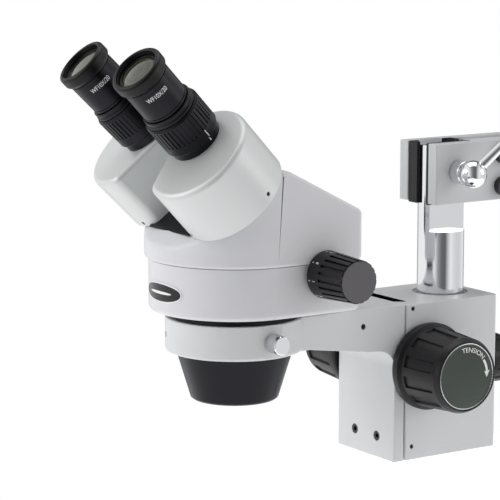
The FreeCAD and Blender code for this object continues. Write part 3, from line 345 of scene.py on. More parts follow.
def ranged(tree, value, low, high):
    node = tree.nodes.new("ShaderNodeMapRange")
    node.inputs["From Min"].default_value = 0.3
    node.inputs["From Max"].default_value = 0.7
    node.inputs["To Min"].default_value = low
    node.inputs["To Max"].default_value = high
    tree.links.new(value, node.inputs["Value"])
    return node.outputs["Result"]


def bumped(tree, shader, value, strength, distance):
    node = tree.nodes.new("ShaderNodeBump")
    node.inputs["Strength"].default_value = strength
    node.inputs["Distance"].default_value = distance
    tree.links.new(value, node.inputs["Height"])
    tree.links.new(node.outputs["Normal"], shader.inputs["Normal"])


def tinted(colour, share):
    return (*[min(1.0, c * share) for c in colour[:3]], 1.0)


def paint(name, colour, roughness, grain, depth, coat=0.0, variation=0.03, specular=0.5):
    """Sprayed or moulded finish: fine grain, a slow change of shade and patchy gloss."""
    finish, tree, shader, coords = node_setup(name)
    shade = speckle(tree, coords, 18.0, 4.0)
    stops = [(0.3, tinted(colour, 1 - variation)), (0.7, tinted(colour, 1 + variation))]
    tree.links.new(ramp(tree, shade, stops), shader.inputs["Base Color"])
    patch = speckle(tree, coords, 55.0, 5.0)
    tree.links.new(ranged(tree, patch, roughness * 0.88, roughness * 1.12), shader.inputs["Roughness"])
    bumped(tree, shader, speckle(tree, coords, grain, 2.0), 0.35, depth)
    shader.inputs["Coat Weight"].default_value = coat
    shader.inputs["Coat Roughness"].default_value = 0.15
    shader.inputs["Specular IOR Level"].default_value = specular
    return finish


def bright_metal(name, colour, roughness, stretch, variation=0.06, depth=0.00001):
    """Machined or plated metal with fine drawn-out marks."""
    finish, tree, shader, coords = node_setup(name)
    shader.inputs["Metallic"].default_value = 1.0
    lines = speckle(tree, coords, 260.0, 4.0, stretch)
    stops = [(0.3, tinted(colour, 1 - variation)), (0.7, tinted(colour, 1 + variation))]
    tree.links.new(ramp(tree, lines, stops), shader.inputs["Base Color"])
    tree.links.new(ranged(tree, lines, roughness * 0.7, roughness * 1.3), shader.inputs["Roughness"])
    bumped(tree, shader, lines, 0.12, depth)
    return finish


def painted_reflection_lens(name, place, radius):
    """Dark glass with painted reflection: faint green and amber bands of painted coating reflection and a lighter
    painted highlight band near the edge, round a dark middle.
    """
    finish, tree, shader, coords = node_setup(name)
    mapping = tree.nodes.new("ShaderNodeMapping")
    mapping.vector_type = "TEXTURE"
    mapping.inputs["Location"].default_value = place.translation
    mapping.inputs["Rotation"].default_value = place.to_euler()
    mapping.inputs["Scale"].default_value = (radius, radius, 1000)
    tree.links.new(coords, mapping.inputs["Vector"])
    length = tree.nodes.new("ShaderNodeVectorMath")
    length.operation = "LENGTH"
    tree.links.new(mapping.outputs["Vector"], length.inputs[0])
    # Painted reflection and painted highlight: the amber and olive bands and the lighter band at 0.74 stand in for
    # light off the coating, set in the base colour.
    painted_reflection_bands = ramp(tree, length.outputs["Value"], [
        (0.0, (0.006, 0.004, 0.003, 1)), (0.30, (0.012, 0.009, 0.006, 1)),
        (0.38, (0.055, 0.045, 0.026, 1)), (0.60, (0.032, 0.030, 0.016, 1)),
        (0.74, (0.10, 0.092, 0.06, 1)), (0.80, (0.008, 0.008, 0.007, 1)), (1.0, (0.004, 0.004, 0.004, 1))])
    tree.links.new(painted_reflection_bands, shader.inputs["Base Color"])
    patch = speckle(tree, coords, 90.0, 3.0)
    tree.links.new(ranged(tree, patch, 0.02, 0.06), shader.inputs["Roughness"])
    shader.inputs["Coat Weight"].default_value = 1.0
    shader.inputs["Coat Roughness"].default_value = 0.02
    shader.inputs["Coat Tint"].default_value = (0.95, 1.0, 0.92, 1)
    return finish


# ---- Sizes and colours a user would change -------------------------------------------------

def length(name, text, default):
    return bpy.props.FloatProperty(name=name, description=text, default=default, min=0.0,
                                   precision=4, unit="LENGTH")


def number(name, text, default):
    return bpy.props.IntProperty(name=name, description=text, default=default, min=3)


def colour(name, text, default):
    return bpy.props.FloatVectorProperty(name=name, description=text, default=default,
                                         subtype="COLOR", size=3, min=0.0, max=1.0)


class MicroscopeShells(bpy.types.PropertyGroup):
    """Painted shells of the head"""
    wall: length("Wall", "Thickness of the cast shells", 0.003)
    lower_edge: length("Lower edge", "Rounding under the lower shell", 0.0035)
    upper_edge: length("Upper edge", "Rounding under the upper shell", 0.0025)
    back_corner: length("Back corner", "Rounding of the two upright corners behind", 0.004)
    roof_edge: length("Roof edge", "Rounding where the roof meets the sides", 0.0024)
    ridge_edge: length("Ridge", "Rounding of the roof's ridge", 0.0095)
    box_corner: length("Box corner", "Rounding of a prism box's two upright corners", 0.007)
    box_edge: length("Box edge", "Rounding round a prism box's top", 0.0035)
    badge_rim: length("Badge rim", "Width of the badge's bright rim", 0.0009)
    slope: bpy.props.FloatProperty(name="Roof slope", description="Fall of the roof behind the ridge",
                                   default=math.radians(27.06), subtype="ANGLE")
    slope_y: length("Slope point, along", "A point of the rear slope, from the head's axis", 0.0584)
    slope_z: length("Slope point, up", "The same point's height over the ring", 0.0714)


class MicroscopeEyepieces(bpy.types.PropertyGroup):
    """Eyepieces and their diopter rings"""
    flutes: number("Flutes", "Grooves round a diopter ring", 40)
    flute_depth: length("Flute depth", "Depth of a diopter ring's grooves", 0.0008)
    rim_round: length("Rim rounding", "Rounding of the soft rim", 0.0022)
    groove: length("Groove", "Width of the turned grooves", 0.0006)
    lettering: length("Lettering", "Height of the marking on an eyepiece", 0.0034)


class MicroscopeKnobs(bpy.types.PropertyGroup):
    """Zoom knobs, focusing knobs and clamp knobs"""
    zoom_lugs: number("Zoom lugs", "Raised lugs round a zoom knob", 20)
    zoom_lug_height: length("Zoom lug height", "Depth of the grooves between the lugs", 0.0012)
    focus_ribs: number("Focus ribs", "Raised ribs round a focusing knob", 12)
    focus_rib_height: length("Focus rib height", "Height of the ribs", 0.0013)
    knurl: number("Knurl", "Fine grooves round the thumb screw", 40)


class MicroscopeStand(bpy.types.PropertyGroup):
    """Holder arm, focusing block and boom clamp"""
    casting_edge: length("Casting edge", "Rounding of the arm's and block's edges", 0.0007)
    ring_foot: length("Ring foot", "Rounding under the holder ring", 0.0026)
    arm_fillet: length("Arm fillet", "Hollow between the arm and its upright", 0.013)
    plate_edge: length("Plate edge", "Rounding of the clamp plates", 0.0006)


class MicroscopeColours(bpy.types.PropertyGroup):
    """Base colours of the finishes"""
    shell: colour("Shell", "Head shells", (0.70, 0.70, 0.725))
    box: colour("Box", "Prism boxes", (0.66, 0.675, 0.665))
    stand: colour("Stand", "Holder ring, arm and focusing block", (0.66, 0.67, 0.675))
    plate: colour("Plate", "Clamp plates and boom socket", (0.62, 0.63, 0.635))
    black: colour("Black", "Anodised eyepieces and shroud", (0.0025, 0.0025, 0.003))
    moulded: colour("Moulded black", "Knobs", (0.0055, 0.005, 0.0065))


class MicroscopeView(bpy.types.PropertyGroup):
    """Camera and light"""
    azimuth: bpy.props.FloatProperty(name="Azimuth", description="Camera's heading round the head",
                                     default=math.radians(56.831), subtype="ANGLE")
    elevation: bpy.props.FloatProperty(name="Elevation", description="Camera's height angle",
                                       default=math.radians(9.148), subtype="ANGLE")
    place: bpy.props.FloatVectorProperty(name="Place", description="Where the camera stands",
                                         default=(1.20738, -1.06909, 0.19103), subtype="XYZ")
    lens: bpy.props.FloatProperty(name="Lens", description="Focal length in millimetres",
                                  default=162.23)
    left_power: bpy.props.FloatProperty(name="Left light", description="Power of the left soft light",
                                        default=5.0, unit="POWER")
    right_power: bpy.props.FloatProperty(name="Right light", description="Power of the right soft light",
                                         default=2.5, unit="POWER")
    top_power: bpy.props.FloatProperty(name="Top light", description="Power of the soft light above",
                                       default=9.0, unit="POWER")
    floor_glow: bpy.props.FloatProperty(name="Floor glow", description="How far the floor lights itself",
                                        default=0.5)


GROUPS = {"shells": MicroscopeShells, "eyes": MicroscopeEyepieces, "knobs": MicroscopeKnobs,
          "stand": MicroscopeStand, "colours": MicroscopeColours, "camera_view": MicroscopeView}


def settings(context, group):
    return getattr(context.scene, "microscope_" + group)


def finishes():
    """The shared finishes, made once."""
    return {name: bpy.data.materials[name] for name in FINISH_NAMES}


FINISH_NAMES = ("shell_paint", "box_paint", "stand_paint", "plate_paint", "black_anodised",
                "moulded_black", "soft_rim", "chrome", "dark_steel", "ground_steel", "machined_brass",
                "machined_aluminium", "white_marking", "gloss_cap", "badge_black", "knob_face",
                "clear_glass", "bush_nylon")


class MICROSCOPE_OT_finishes(bpy.types.Operator):
    """Make the finishes and give them to the frame's own nodes"""
    bl_idname = "microscope.finishes"
    bl_label = "Finishes"

    def execute(self, context):
        colours = settings(context, "colours")
        paint("shell_paint", colours.shell, 0.42, 2600.0, 0.00003, coat=0.15)
        paint("box_paint", colours.box, 0.40, 2600.0, 0.00003, coat=0.15)
        paint("stand_paint", colours.stand, 0.45, 2300.0, 0.00004, coat=0.1)
        paint("plate_paint", colours.plate, 0.42, 2300.0, 0.00004, coat=0.1)
        paint("black_anodised", colours.black, 0.28, 4200.0, 0.00002, variation=0.25, specular=0.28)
        paint("moulded_black", colours.moulded, 0.40, 1500.0, 0.00006, variation=0.2, specular=0.35)
        paint("soft_rim", (0.004, 0.004, 0.0045), 0.36, 1800.0, 0.00005, variation=0.2, specular=0.25)
        paint("white_marking", (0.85, 0.85, 0.85), 0.5, 2000.0, 0.00002)
        paint("gloss_cap", (0.010, 0.024, 0.013), 0.2, 420.0, 0.00012, coat=0.6, variation=0.3)
        paint("badge_black", (0.003, 0.003, 0.0035), 0.14, 900.0, 0.00001, coat=0.4, variation=0.2, specular=0.25)
        paint("knob_face", (0.10, 0.095, 0.10), 0.45, 3000.0, 0.00003, variation=0.08)
        paint("bush_nylon", (0.35, 0.36, 0.36), 0.5, 1500.0, 0.00004, variation=0.05)
        bright_metal("chrome", (0.86, 0.87, 0.88), 0.05, (1, 1, 0.2), 0.02, 0.000002)
        bright_metal("dark_steel", (0.07, 0.07, 0.075), 0.35, (1, 1, 1), 0.2)
        bright_metal("ground_steel", (0.56, 0.57, 0.58), 0.25, (1, 1, 6))
        bright_metal("machined_brass", (0.72, 0.55, 0.26), 0.3, (6, 1, 1))
        bright_metal("machined_aluminium", (0.66, 0.67, 0.69), 0.32, (1, 5, 1))
        glass = paint("clear_glass", (0.85, 0.93, 0.90), 0.04, 900.0, 0.000005)
        glass.node_tree.nodes["Principled BSDF"].inputs["Transmission Weight"].default_value = 0.9
        made = finishes()
        by_slot = {"satin_plate": "plate_paint", "black_plastic": "moulded_black", "chrome": "chrome",
                   "black_steel": "dark_steel", "grey_paint": "stand_paint", "white_paint": "shell_paint",
                   "box_paint": "box_paint", "brass": "machined_brass", "steel": "ground_steel",
                   "cap_gloss": "gloss_cap", "aluminium": "machined_aluminium",
                   "black_anodised": "black_anodised", "glass": "clear_glass", "badge_gloss": "badge_black"}
        slots = {part["node"]: part["material_slot"] for part in frame["record"]["subparts"]}
        for name, node in frame["nodes"].items():
            node.data.materials.clear()
            node.data.materials.append(made[by_slot[slots[name]]])
        return {"FINISHED"}


# ---- Head ----------------------------------------------------------------------------------

def half_round(radius, back, corner):
    """Outline of the head: half round in front, square with rounded corners behind."""
    front = arc(radius, -178.5, -1.5, 59)
    front[0], front[-1] = (-radius, front[0][1]), (radius, front[-1][1])
    rear = rounded([front[-1], (radius, back, corner), (-radius, back, corner), front[0]])
    return front + [tuple(p) for p in rear[1:-1]]


class MICROSCOPE_OT_lower_shell(bpy.types.Operator):
    """Model the lower shell, open above, with its floor opening and shaft holes"""
    bl_idname = "microscope.lower_shell"
    bl_label = "Lower shell"

    def execute(self, context):
        shells = settings(context, "shells")
        low, high = extent("lower_housing")
        outline = half_round(high.x, high.y, shells.back_corner)
        piece = prism("lower_shell", outline, low.z, high.z, HEAD_FRAME, open_high=True)
        foot = HEAD.z + low.z
        round_edges(piece, shells.lower_edge, lambda edge: all(
            abs(v.co.z - foot) < 1e-6 for v in edge.verts), 6)
        modified(piece, "SOLIDIFY", thickness=shells.wall, offset=-1)
        barrel = extent("lens_barrel")[1].x
        floor_hole = peg(barrel - 0.01, low.z - 0.001, low.z + shells.wall + 0.001, HEAD_FRAME, 96)
        zoom = joint_frame("zoom_turn")
        shaft_hole = peg(0.0034, -high.x - 0.001, high.x + 0.001, zoom)
        carved(piece, floor_hole, shaft_hole)
        round_edges(piece, 0.0003, lambda edge: all(
            abs(v.co.z - HEAD.z - high.z) < 1e-6 for v in edge.verts)
            and edge.calc_face_angle(0) > 1, 2)
        finished(piece, "head", "white_paint", finishes()["shell_paint"], "lower_housing")
        return {"FINISHED"}


def rounded_ridge(piece, seat, up, fall, slope, radius, steps=6):
    """Round the ridge between two roof planes with cuts that touch one cylinder under both."""
    along = up.cross(slope).normalized()
    middle = Matrix((up, slope, along)).inverted() @ Vector((
        up.dot(seat) - radius, slope.dot(fall) - radius, along.dot(seat)))
    for k in range(1, steps):
        normal = up.slerp(slope, k / steps)
        bisected(piece, middle + radius * normal, normal)


class MICROSCOPE_OT_upper_shell(bpy.types.Operator):
    """Model the upper shell with its two tilted seats and the slope behind"""
    bl_idname = "microscope.upper_shell"
    bl_label = "Upper shell"

    def execute(self, context):
        shells = settings(context, "shells")
        low, high = extent("upper_housing")
        floor = HEAD.z + low.z
        hubs = [joint_frame("eye_spacing_" + side) for side in SIDES]
        seat = extent("prism_box_right", hubs[0])[0].z - 0.8 * MM
        outline = half_round(high.x, high.y, shells.back_corner)
        piece = prism("upper_shell", outline, low.z, 2 * high.z, HEAD_FRAME)
        for hub in hubs:
            bisected(piece, hub @ Vector((0, 0, seat)), hub.col[2].to_3d())
        slope = Matrix.Rotation(-shells.slope, 3, "X") @ Vector((0, 0, 1))
        fall = HEAD + Vector((0, shells.slope_y, shells.slope_z))
        bisected(piece, fall, slope)
        for hub in hubs:
            rounded_ridge(piece, hub @ Vector((0, 0, seat)), hub.col[2].to_3d(), fall, slope,
                          shells.ridge_edge)
        for hub in hubs:
            carved(piece, peg(HUB_ROOM, seat - 8.5 * MM, seat + 10 * MM, hub))
        inner = [hub.inverted() for hub in hubs]

        def at_hub(vertex):
            return any((turn @ vertex.co).to_2d().length < HUB_ROOM + MM for turn in inner)

        def on_roof(edge):
            return (edge.calc_face_angle(0) > math.radians(28) and not any(map(at_hub, edge.verts))
                    and min(v.co.z for v in edge.verts) > floor + MM)

        def at_foot(edge):
            outside = max((v.co - HEAD).to_2d().length for v in edge.verts) > high.x - 0.1 * MM
            return (outside and edge.calc_face_angle(0) > 1
                    and all(abs(v.co.z - floor) < 0.01 * MM for v in edge.verts))

        round_edges(piece, shells.roof_edge, on_roof, 4)
        round_edges(piece, shells.upper_edge, at_foot, 5)
        pick_faces(piece, lambda face: face.calc_center_median().z < floor + 0.001 * MM)
        bpy.ops.mesh.delete(type="FACE")
        bpy.ops.object.mode_set(mode="OBJECT")
        modified(piece, "SOLIDIFY", thickness=shells.wall, offset=-1)
        finished(piece, "head", "white_paint", finishes()["shell_paint"], "upper_housing")
        return {"FINISHED"}


def full_oval(part, other, power=0.88):
    """Push a point of the unit disc out towards the corners, for an oval with fuller ends."""
    reach = math.hypot(part, other)
    return math.copysign(reach * (abs(part) / reach) ** power, part) if reach > 1e-9 else 0.0


class MICROSCOPE_OT_trim(bpy.types.Operator):
    """Model the oval badge and the black plate between the prism boxes"""
    bl_idname = "microscope.trim"
    bl_label = "Badge and seat plate"

    def execute(self, context):
        shells = settings(context, "shells")
        low, high = extent("badge")
        face = extent("lower_housing")[1].x
        middle = (low.z + high.z) / 2
        for name, grow, lift, finish in (("badge_rim", 0.0, 0.5 * MM, "chrome"),
                                         ("badge_face", -shells.badge_rim, 0.75 * MM, "badge_black"),
                                         ("badge_emblem", None, 0.9 * MM, "white_marking")):
            wide, tall = high.x, (high.z - low.z) / 2
            if grow is None:
                wide, tall = 0.6 * wide, 0.14 * tall
            else:
                wide, tall = wide + grow, tall + grow
            bpy.ops.object.select_all(action="DESELECT")
            bpy.ops.mesh.primitive_circle_add(vertices=72, radius=1, fill_type="NGON")
            piece = context.object
            piece.name = name
            bpy.ops.object.mode_set(mode="EDIT")
            bpy.ops.mesh.select_all(action="SELECT")
            for _ in range(5):
                bpy.ops.mesh.inset(thickness=0.16)
            bpy.ops.object.mode_set(mode="OBJECT")
            for vertex in piece.data.vertices:
                x, z = (wide * full_oval(vertex.co.x, vertex.co.y),
                        tall * full_oval(vertex.co.y, vertex.co.x))
                crown = 0.15 * MM * (1 - min(1, vertex.co.length)) if grow is not None else 0
                y = -math.sqrt(face * face - x * x) - lift - crown
                vertex.co = HEAD + Vector((x, y, middle + z))
            activate(piece)
            bpy.ops.object.mode_set(mode="EDIT")
            bpy.ops.mesh.select_all(action="SELECT")
            bpy.ops.mesh.normals_make_consistent(inside=False)
            bpy.ops.object.mode_set(mode="OBJECT")
            if sum(face_.normal.y for face_ in piece.data.polygons) > 0:
                piece.data.flip_normals()
            modified(piece, "SOLIDIFY", thickness=lift + 0.2 * MM, offset=-1)
            nodes = ("badge",) if name == "badge_face" else ()
            finished(piece, "head", "badge_gloss", finishes()[finish], *nodes)

        tilt = axes(HEAD, (1, 0, 0), (0, -1, 1))
        low, high = extent("seat_plate", tilt)
        plate = slab((low.x, low.y, high.z - 1.1 * MM), (high.x, high.y, high.z + 0.1 * MM), tilt)
        plate.name = "seat_cover"
        round_edges(plate, 0.5 * MM, sharper_than(40), 2)
        heads = []
        for x, y in ((0.0, low.y + 11.5 * MM), (0.0, low.y + 24 * MM)):
            place = tilt @ Matrix.Translation((x, y, high.z - 0.4 * MM))
            carved(plate, peg(2.3 * MM, 0, 2 * MM, place))
            head = turned("screw", [(0, -0.5 * MM), (2.1 * MM, -0.5 * MM), (2.1 * MM, 0.2 * MM, 0.2 * MM),
                                    (0, 0.5 * MM)], place, 48)
            heads.append(carved(head, slab((-3 * MM, -0.3 * MM, 0), (3 * MM, 0.3 * MM, MM),
                                           place @ Matrix.Rotation(0.6, 4, "Z"))))
        finished(joined("plate_screws", *heads), "head", "chrome", finishes()["ground_steel"])
        finished(plate, "head", "black_anodised", finishes()["black_anodised"], "seat_plate")
        return {"FINISHED"}


class MICROSCOPE_OT_lens_end(bpy.types.Operator):
    """Turn the black lens barrel with its flange, and the objective shroud below it"""
    bl_idname = "microscope.lens_end"
    bl_label = "Lens barrel and shroud"

    def execute(self, context):
        low, high = extent("lens_barrel")
        foot, mouth = extent("objective_shroud")
        bore = extent("objective_cell")[1].x
        neck = mouth.x
        barrel = turned("barrel", [
            (bore, low.z), (neck, low.z), (neck, 0.2 * MM, 0.3 * MM), (high.x, 0.2 * MM, 0.7 * MM),
            (high.x, 2.2 * MM, 0.3 * MM), (high.x - 0.6 * MM, 2.6 * MM, 0.3 * MM),
            (high.x - 0.6 * MM, high.z, 0.4 * MM), (bore, high.z)], HEAD_FRAME, 128, closed=True)
        finished(barrel, "head", "black_anodised", finishes()["black_anodised"], "lens_barrel")
        nose = 28.7 * MM
        thread = extent("lens_barrel")[1].x - 19 * MM
        ribs = []
        for turn in range(7):
            level = foot.z + MM * (6.2 - 0.8 * turn)
            ribs += [(thread + 0.35 * MM, level), (thread, level - 0.4 * MM)]
        shroud = turned("shroud", [
            (neck, mouth.z, 0.4 * MM), (nose + 0.4 * MM, foot.z + 2.4 * MM, 0.5 * MM),
            (nose, foot.z + 1.2 * MM, 0.4 * MM), (nose - 1.4 * MM, foot.z, 0.8 * MM),
            (thread + 0.8 * MM, foot.z)] + ribs[::-1] + [(bore - 4 * MM, foot.z + 12 * MM), (bore, mouth.z)],
            HEAD_FRAME, 128, closed=True)
        finished(shroud, "head", "black_anodised", finishes()["black_anodised"], "objective_shroud")
        return {"FINISHED"}


# ---- Prism boxes and eyepieces -------------------------------------------------------------

def chord_disc(radius, flat, corner):
    """Outline of a prism box: a round disc with one flat side, its two corners rounded."""
    half = math.degrees(math.acos(-flat / radius))
    reach = radius * math.sin(math.radians(half))
    bow = [Vector(p) for p in arc(radius, -half + 8, half - 8, 56)]
    corners = rounded([bow[-1], (-flat, reach, corner), (-flat, -reach, corner), bow[0]])
    return bow + corners[1:-1]


class MICROSCOPE_OT_prism_boxes(bpy.types.Operator):
    """Model both prism boxes, each with its screw hole"""
    bl_idname = "microscope.prism_boxes"
    bl_label = "Prism boxes"

    def execute(self, context):
        shells = settings(context, "shells")
        for word, side in SIDES.items():
            hub = joint_frame("eye_spacing_" + word, (1, 0, 0))
            low, high = extent("prism_box_" + word, hub)
            heading = math.radians(16.5) if side > 0 else math.pi - math.radians(16.5)
            spun = hub @ Matrix.Rotation(heading, 4, "Z")
            flat = -extent("prism_box_" + word, spun)[0].x
            outline = chord_disc(high.x if side > 0 else -low.x, flat, shells.box_corner)
            box = prism("box_" + word, outline, low.z, high.z, spun)
            back = spun.inverted()
            round_edges(box, shells.box_edge, lambda edge: all(
                (back @ v.co).z > high.z - 0.01 * MM for v in edge.verts), 6)
            round_edges(box, 0.4 * MM, lambda edge: all(
                (back @ v.co).z < low.z + 0.01 * MM for v in edge.verts), 2)
            plugs = []
            for degrees, rise in ((9, 5.1 * MM), (-98, 3.1 * MM)):
                angle = math.radians(degrees if side > 0 else 180 - degrees)
                out = Vector((math.cos(angle), math.sin(angle), 0))
                screw = hub @ axes(Vector((0, 0, low.z + rise)), (0, 0, 1), out)
                carved(box, peg(1.4 * MM, 30 * MM, 40 * MM, screw, 32))
                plugs.append(turned("plug", [
                    (0, 30 * MM), (1.35 * MM, 30 * MM), (1.35 * MM, 35.3 * MM, 0.2 * MM), (0.7 * MM, 35.3 * MM),
                    (0.7 * MM, 34 * MM), (0, 34 * MM)], screw, 24))
            finished(box, "prism_" + word, "box_paint", finishes()["box_paint"], "prism_box_" + word)
            finished(joined("box_plug_" + word, *plugs), "prism_" + word, "black_steel", finishes()["dark_steel"], "box_screw_" + word)
        return {"FINISHED"}


class MICROSCOPE_OT_eyepieces(bpy.types.Operator):
    """Turn each eye tube, diopter ring, holder, eyepiece and lens"""
    bl_idname = "microscope.eyepieces"
    bl_label = "Eyepieces"

    def execute(self, context):
        eyes = settings(context, "eyes")
        made = finishes()
        for word, side in SIDES.items():
            place = joint_frame("diopter_turn_" + word, (1, 0, 0))
            start = extent("eye_tube_" + word, place)[0].z
            place = place @ Matrix.Translation((0, 0, start))
            self.tube(place, word, made)
            self.ring(place, word, made, eyes)
            self.holder(place, word, made)
            self.eyepiece(place, word, made, eyes)
        return {"FINISHED"}

    def tube(self, place, word, made):
        high = extent("eye_tube_" + word, place)[1]
        tube = turned("tube_" + word, [
            (11.6 * MM, 0), (high.x, 0), (high.x, 2.2 * MM), (high.x, high.z, 0.3 * MM), (16.2 * MM, high.z), (16.2 * MM, 2 * MM), (11.6 * MM, 2 * MM)],
            place, 128, closed=True)
        finished(tube, "prism_" + word, "black_anodised", made["black_anodised"], "eye_tube_" + word)
        mark = prism("index_" + word, rounded([
            (high.x - 0.1 * MM, -0.45 * MM, 0.1 * MM), (high.x + 0.12 * MM, -0.45 * MM, 0.1 * MM),
            (high.x + 0.12 * MM, 0.45 * MM, 0.1 * MM), (high.x - 0.1 * MM, 0.45 * MM, 0.1 * MM)], True),
            2.3 * MM, 5.0 * MM, place @ Matrix.Rotation(INDEX_ANGLE, 4, "Z"))
        finished(mark, "prism_" + word, "white_paint", made["white_marking"])

    def ring(self, place, word, made, eyes):
        low, high = extent("diopter_ring_" + word, place)
        out, bore = high.x, 17.45 * MM
        grip = low.z + 6.8 * MM
        per = 6
        ring = turned("grip_ring_" + word, [
            (bore, low.z), (out - 0.5 * MM, low.z, 0.3 * MM), (out, low.z + 0.8 * MM, 0.3 * MM),
            (out, grip), (out, high.z - 2.0 * MM), (out, high.z - 1.4 * MM, 0.2 * MM),
            (out - 0.8 * MM, high.z, 0.4 * MM), (bore - 1.2 * MM, high.z), (bore - 1.2 * MM, high.z - 0.8 * MM),
            (bore, high.z - 0.8 * MM)], place, eyes.flutes * per, closed=True)
        flutes(ring, place, out, grip, high.z - 2.0 * MM, eyes.flutes, per, (0, 1), -eyes.flute_depth)
        finished(ring, "diopter_ring_" + word, "black_anodised", made["black_anodised"],
                 "diopter_ring_" + word)
        line = prism("ring_line_" + word, rounded([
            (out - 0.1 * MM, -0.3 * MM, 0.1 * MM), (out + 0.04 * MM, -0.3 * MM, 0.05 * MM),
            (out + 0.04 * MM, 0.3 * MM, 0.05 * MM), (out - 0.1 * MM, 0.3 * MM, 0.1 * MM)], True),
            low.z + 1.2 * MM, grip - 0.4 * MM, place @ Matrix.Rotation(INDEX_ANGLE, 4, "Z"))
        finished(line, "diopter_ring_" + word, "white_paint", made["white_marking"])

    def holder(self, place, word, made):
        low, high = extent("diopter_sleeve_" + word, place)
        out, bore = high.x, 15.1 * MM
        shelf = high.z - 5 * MM
        holder = turned("holder_" + word, [
            (bore, low.z), (bore + 0.85 * MM, low.z), (bore + 0.85 * MM, shelf), (out + 0.5 * MM, shelf, 0.4 * MM),
            (out + 0.5 * MM, shelf + 1.5 * MM, 0.4 * MM), (out - 0.3 * MM, shelf + 1.9 * MM, 0.2 * MM),
            (out - 0.3 * MM, shelf + 2.4 * MM, 0.2 * MM), (out, shelf + 2.8 * MM, 0.3 * MM),
            (out, high.z, 0.6 * MM), (bore, high.z)], place, 128, closed=True)
        finished(holder, "diopter_sleeve_" + word, "black_anodised", made["black_anodised"],
                 "diopter_sleeve_" + word)

    def eyepiece(self, place, word, made, eyes):
        low, high = extent("eyepiece_" + word, place)
        lens_low = extent("eye_lens_" + word, place)[0].z
        out, plug, bore = 15.8 * MM, 15.0 * MM, 12.6 * MM
        shoulder, rim = 33.6 * MM, high.z - 8.5 * MM
        groove = eyes.groove
        barrel = turned("ocular_" + word, [
            (bore, low.z), (plug, low.z, 0.5 * MM), (plug, shoulder), (out - 0.5 * MM, shoulder),
            (out, shoulder + 0.5 * MM), (out, shoulder + 1.8 * MM), (out - groove * 0.8, shoulder + 1.8 * MM),
            (out - groove * 0.8, shoulder + 1.8 * MM + groove), (out, shoulder + 1.8 * MM + groove),
            (out, rim - 1.2 * MM), (out - 0.4 * MM, rim - 1.0 * MM), (out - 0.4 * MM, rim + 2 * MM),
            (bore, rim + 2 * MM)], place, 128, closed=True)
        finished(barrel, "eyepiece_" + word, "black_anodised", made["black_anodised"], "eyepiece_" + word)
        rim_out, mouth = high.x, 14.0 * MM
        soft = turned("eye_rim_" + word, [
            (out - 0.5 * MM, rim), (rim_out - 1.2 * MM, rim, 0.4 * MM), (rim_out, rim + 1.7 * MM, 1.0 * MM),
            (rim_out, high.z, eyes.rim_round), (mouth + 0.6 * MM, high.z, 0.9 * MM),
            (mouth, high.z - 2.4 * MM, 0.3 * MM), (mouth, high.z - 4.4 * MM), (bore - 0.4 * MM, high.z - 4.6 * MM),
            (bore - 0.4 * MM, rim)], place, 128, closed=True)
        finished(soft, "eyepiece_" + word, "black_anodised", made["soft_rim"])
        edge, seat = mouth - 0.05 * MM, high.z - 4.3 * MM
        dome = [(edge * (1 - k / 10), seat + 2.3 * MM * (1 - (1 - k / 10) ** 2)) for k in range(11)]
        lens = turned("lens_" + word, [
            (0, lens_low), (bore - 0.5 * MM, lens_low), (bore - 0.5 * MM, seat - 0.3 * MM),
            (edge, seat - 0.3 * MM)] + dome, place, 96)
        painted_reflection_finish = painted_reflection_lens("lens_coat_" + word, place @ Matrix.Translation((0, 0, lens_low)), edge)
        finished(lens, "eyepiece_" + word, "glass", painted_reflection_finish, "eye_lens_" + word, smooth=50)
        retainer = turned("retainer_" + word, [
            (edge - 1.3 * MM, seat + 0.2 * MM), (edge, seat - 0.1 * MM), (edge, seat + 0.9 * MM, 0.3 * MM),
            (edge - 1.1 * MM, seat + 1.0 * MM, 0.3 * MM)], place, 96, closed=True)
        finished(retainer, "eyepiece_" + word, "black_anodised", made["black_anodised"])
        words = wrapped_text("marking_" + word, "WF10X/20", eyes.lettering, place, out,
                             rim - 7.4 * MM, LETTER_ANGLE)
        finished(words, "eyepiece_" + word, "white_paint", made["white_marking"])


def flutes(piece, place, radius, low, high, count, per, kept, depth, inset=0.0):
    """Push evenly spaced strips of a turned surface in or out, between two heights."""
    back = place.inverted()

    def in_strip(face):
        middle = back @ face.calc_center_median()
        if not low < middle.z < high or middle.to_2d().length < radius - 3 * MM:
            return False
        step = math.atan2(middle.y, middle.x) / FULL_TURN * count * per
        return math.floor(step) % per in kept

    pick_faces(piece, in_strip)
    if inset:
        bpy.ops.mesh.extrude_region_shrink_fatten(TRANSFORM_OT_shrink_fatten={"value": 0})
        bpy.ops.mesh.inset(thickness=inset, depth=depth)
    else:
        bpy.ops.mesh.extrude_region_shrink_fatten(TRANSFORM_OT_shrink_fatten={"value": depth})
    bpy.ops.object.mode_set(mode="OBJECT")
    return piece


INDEX_ANGLE = math.radians(4)
LETTER_ANGLE = math.radians(-22)
HUB_ROOM = 14.05 * 0.001


# ---- Knobs ---------------------------------------------------------------------------------

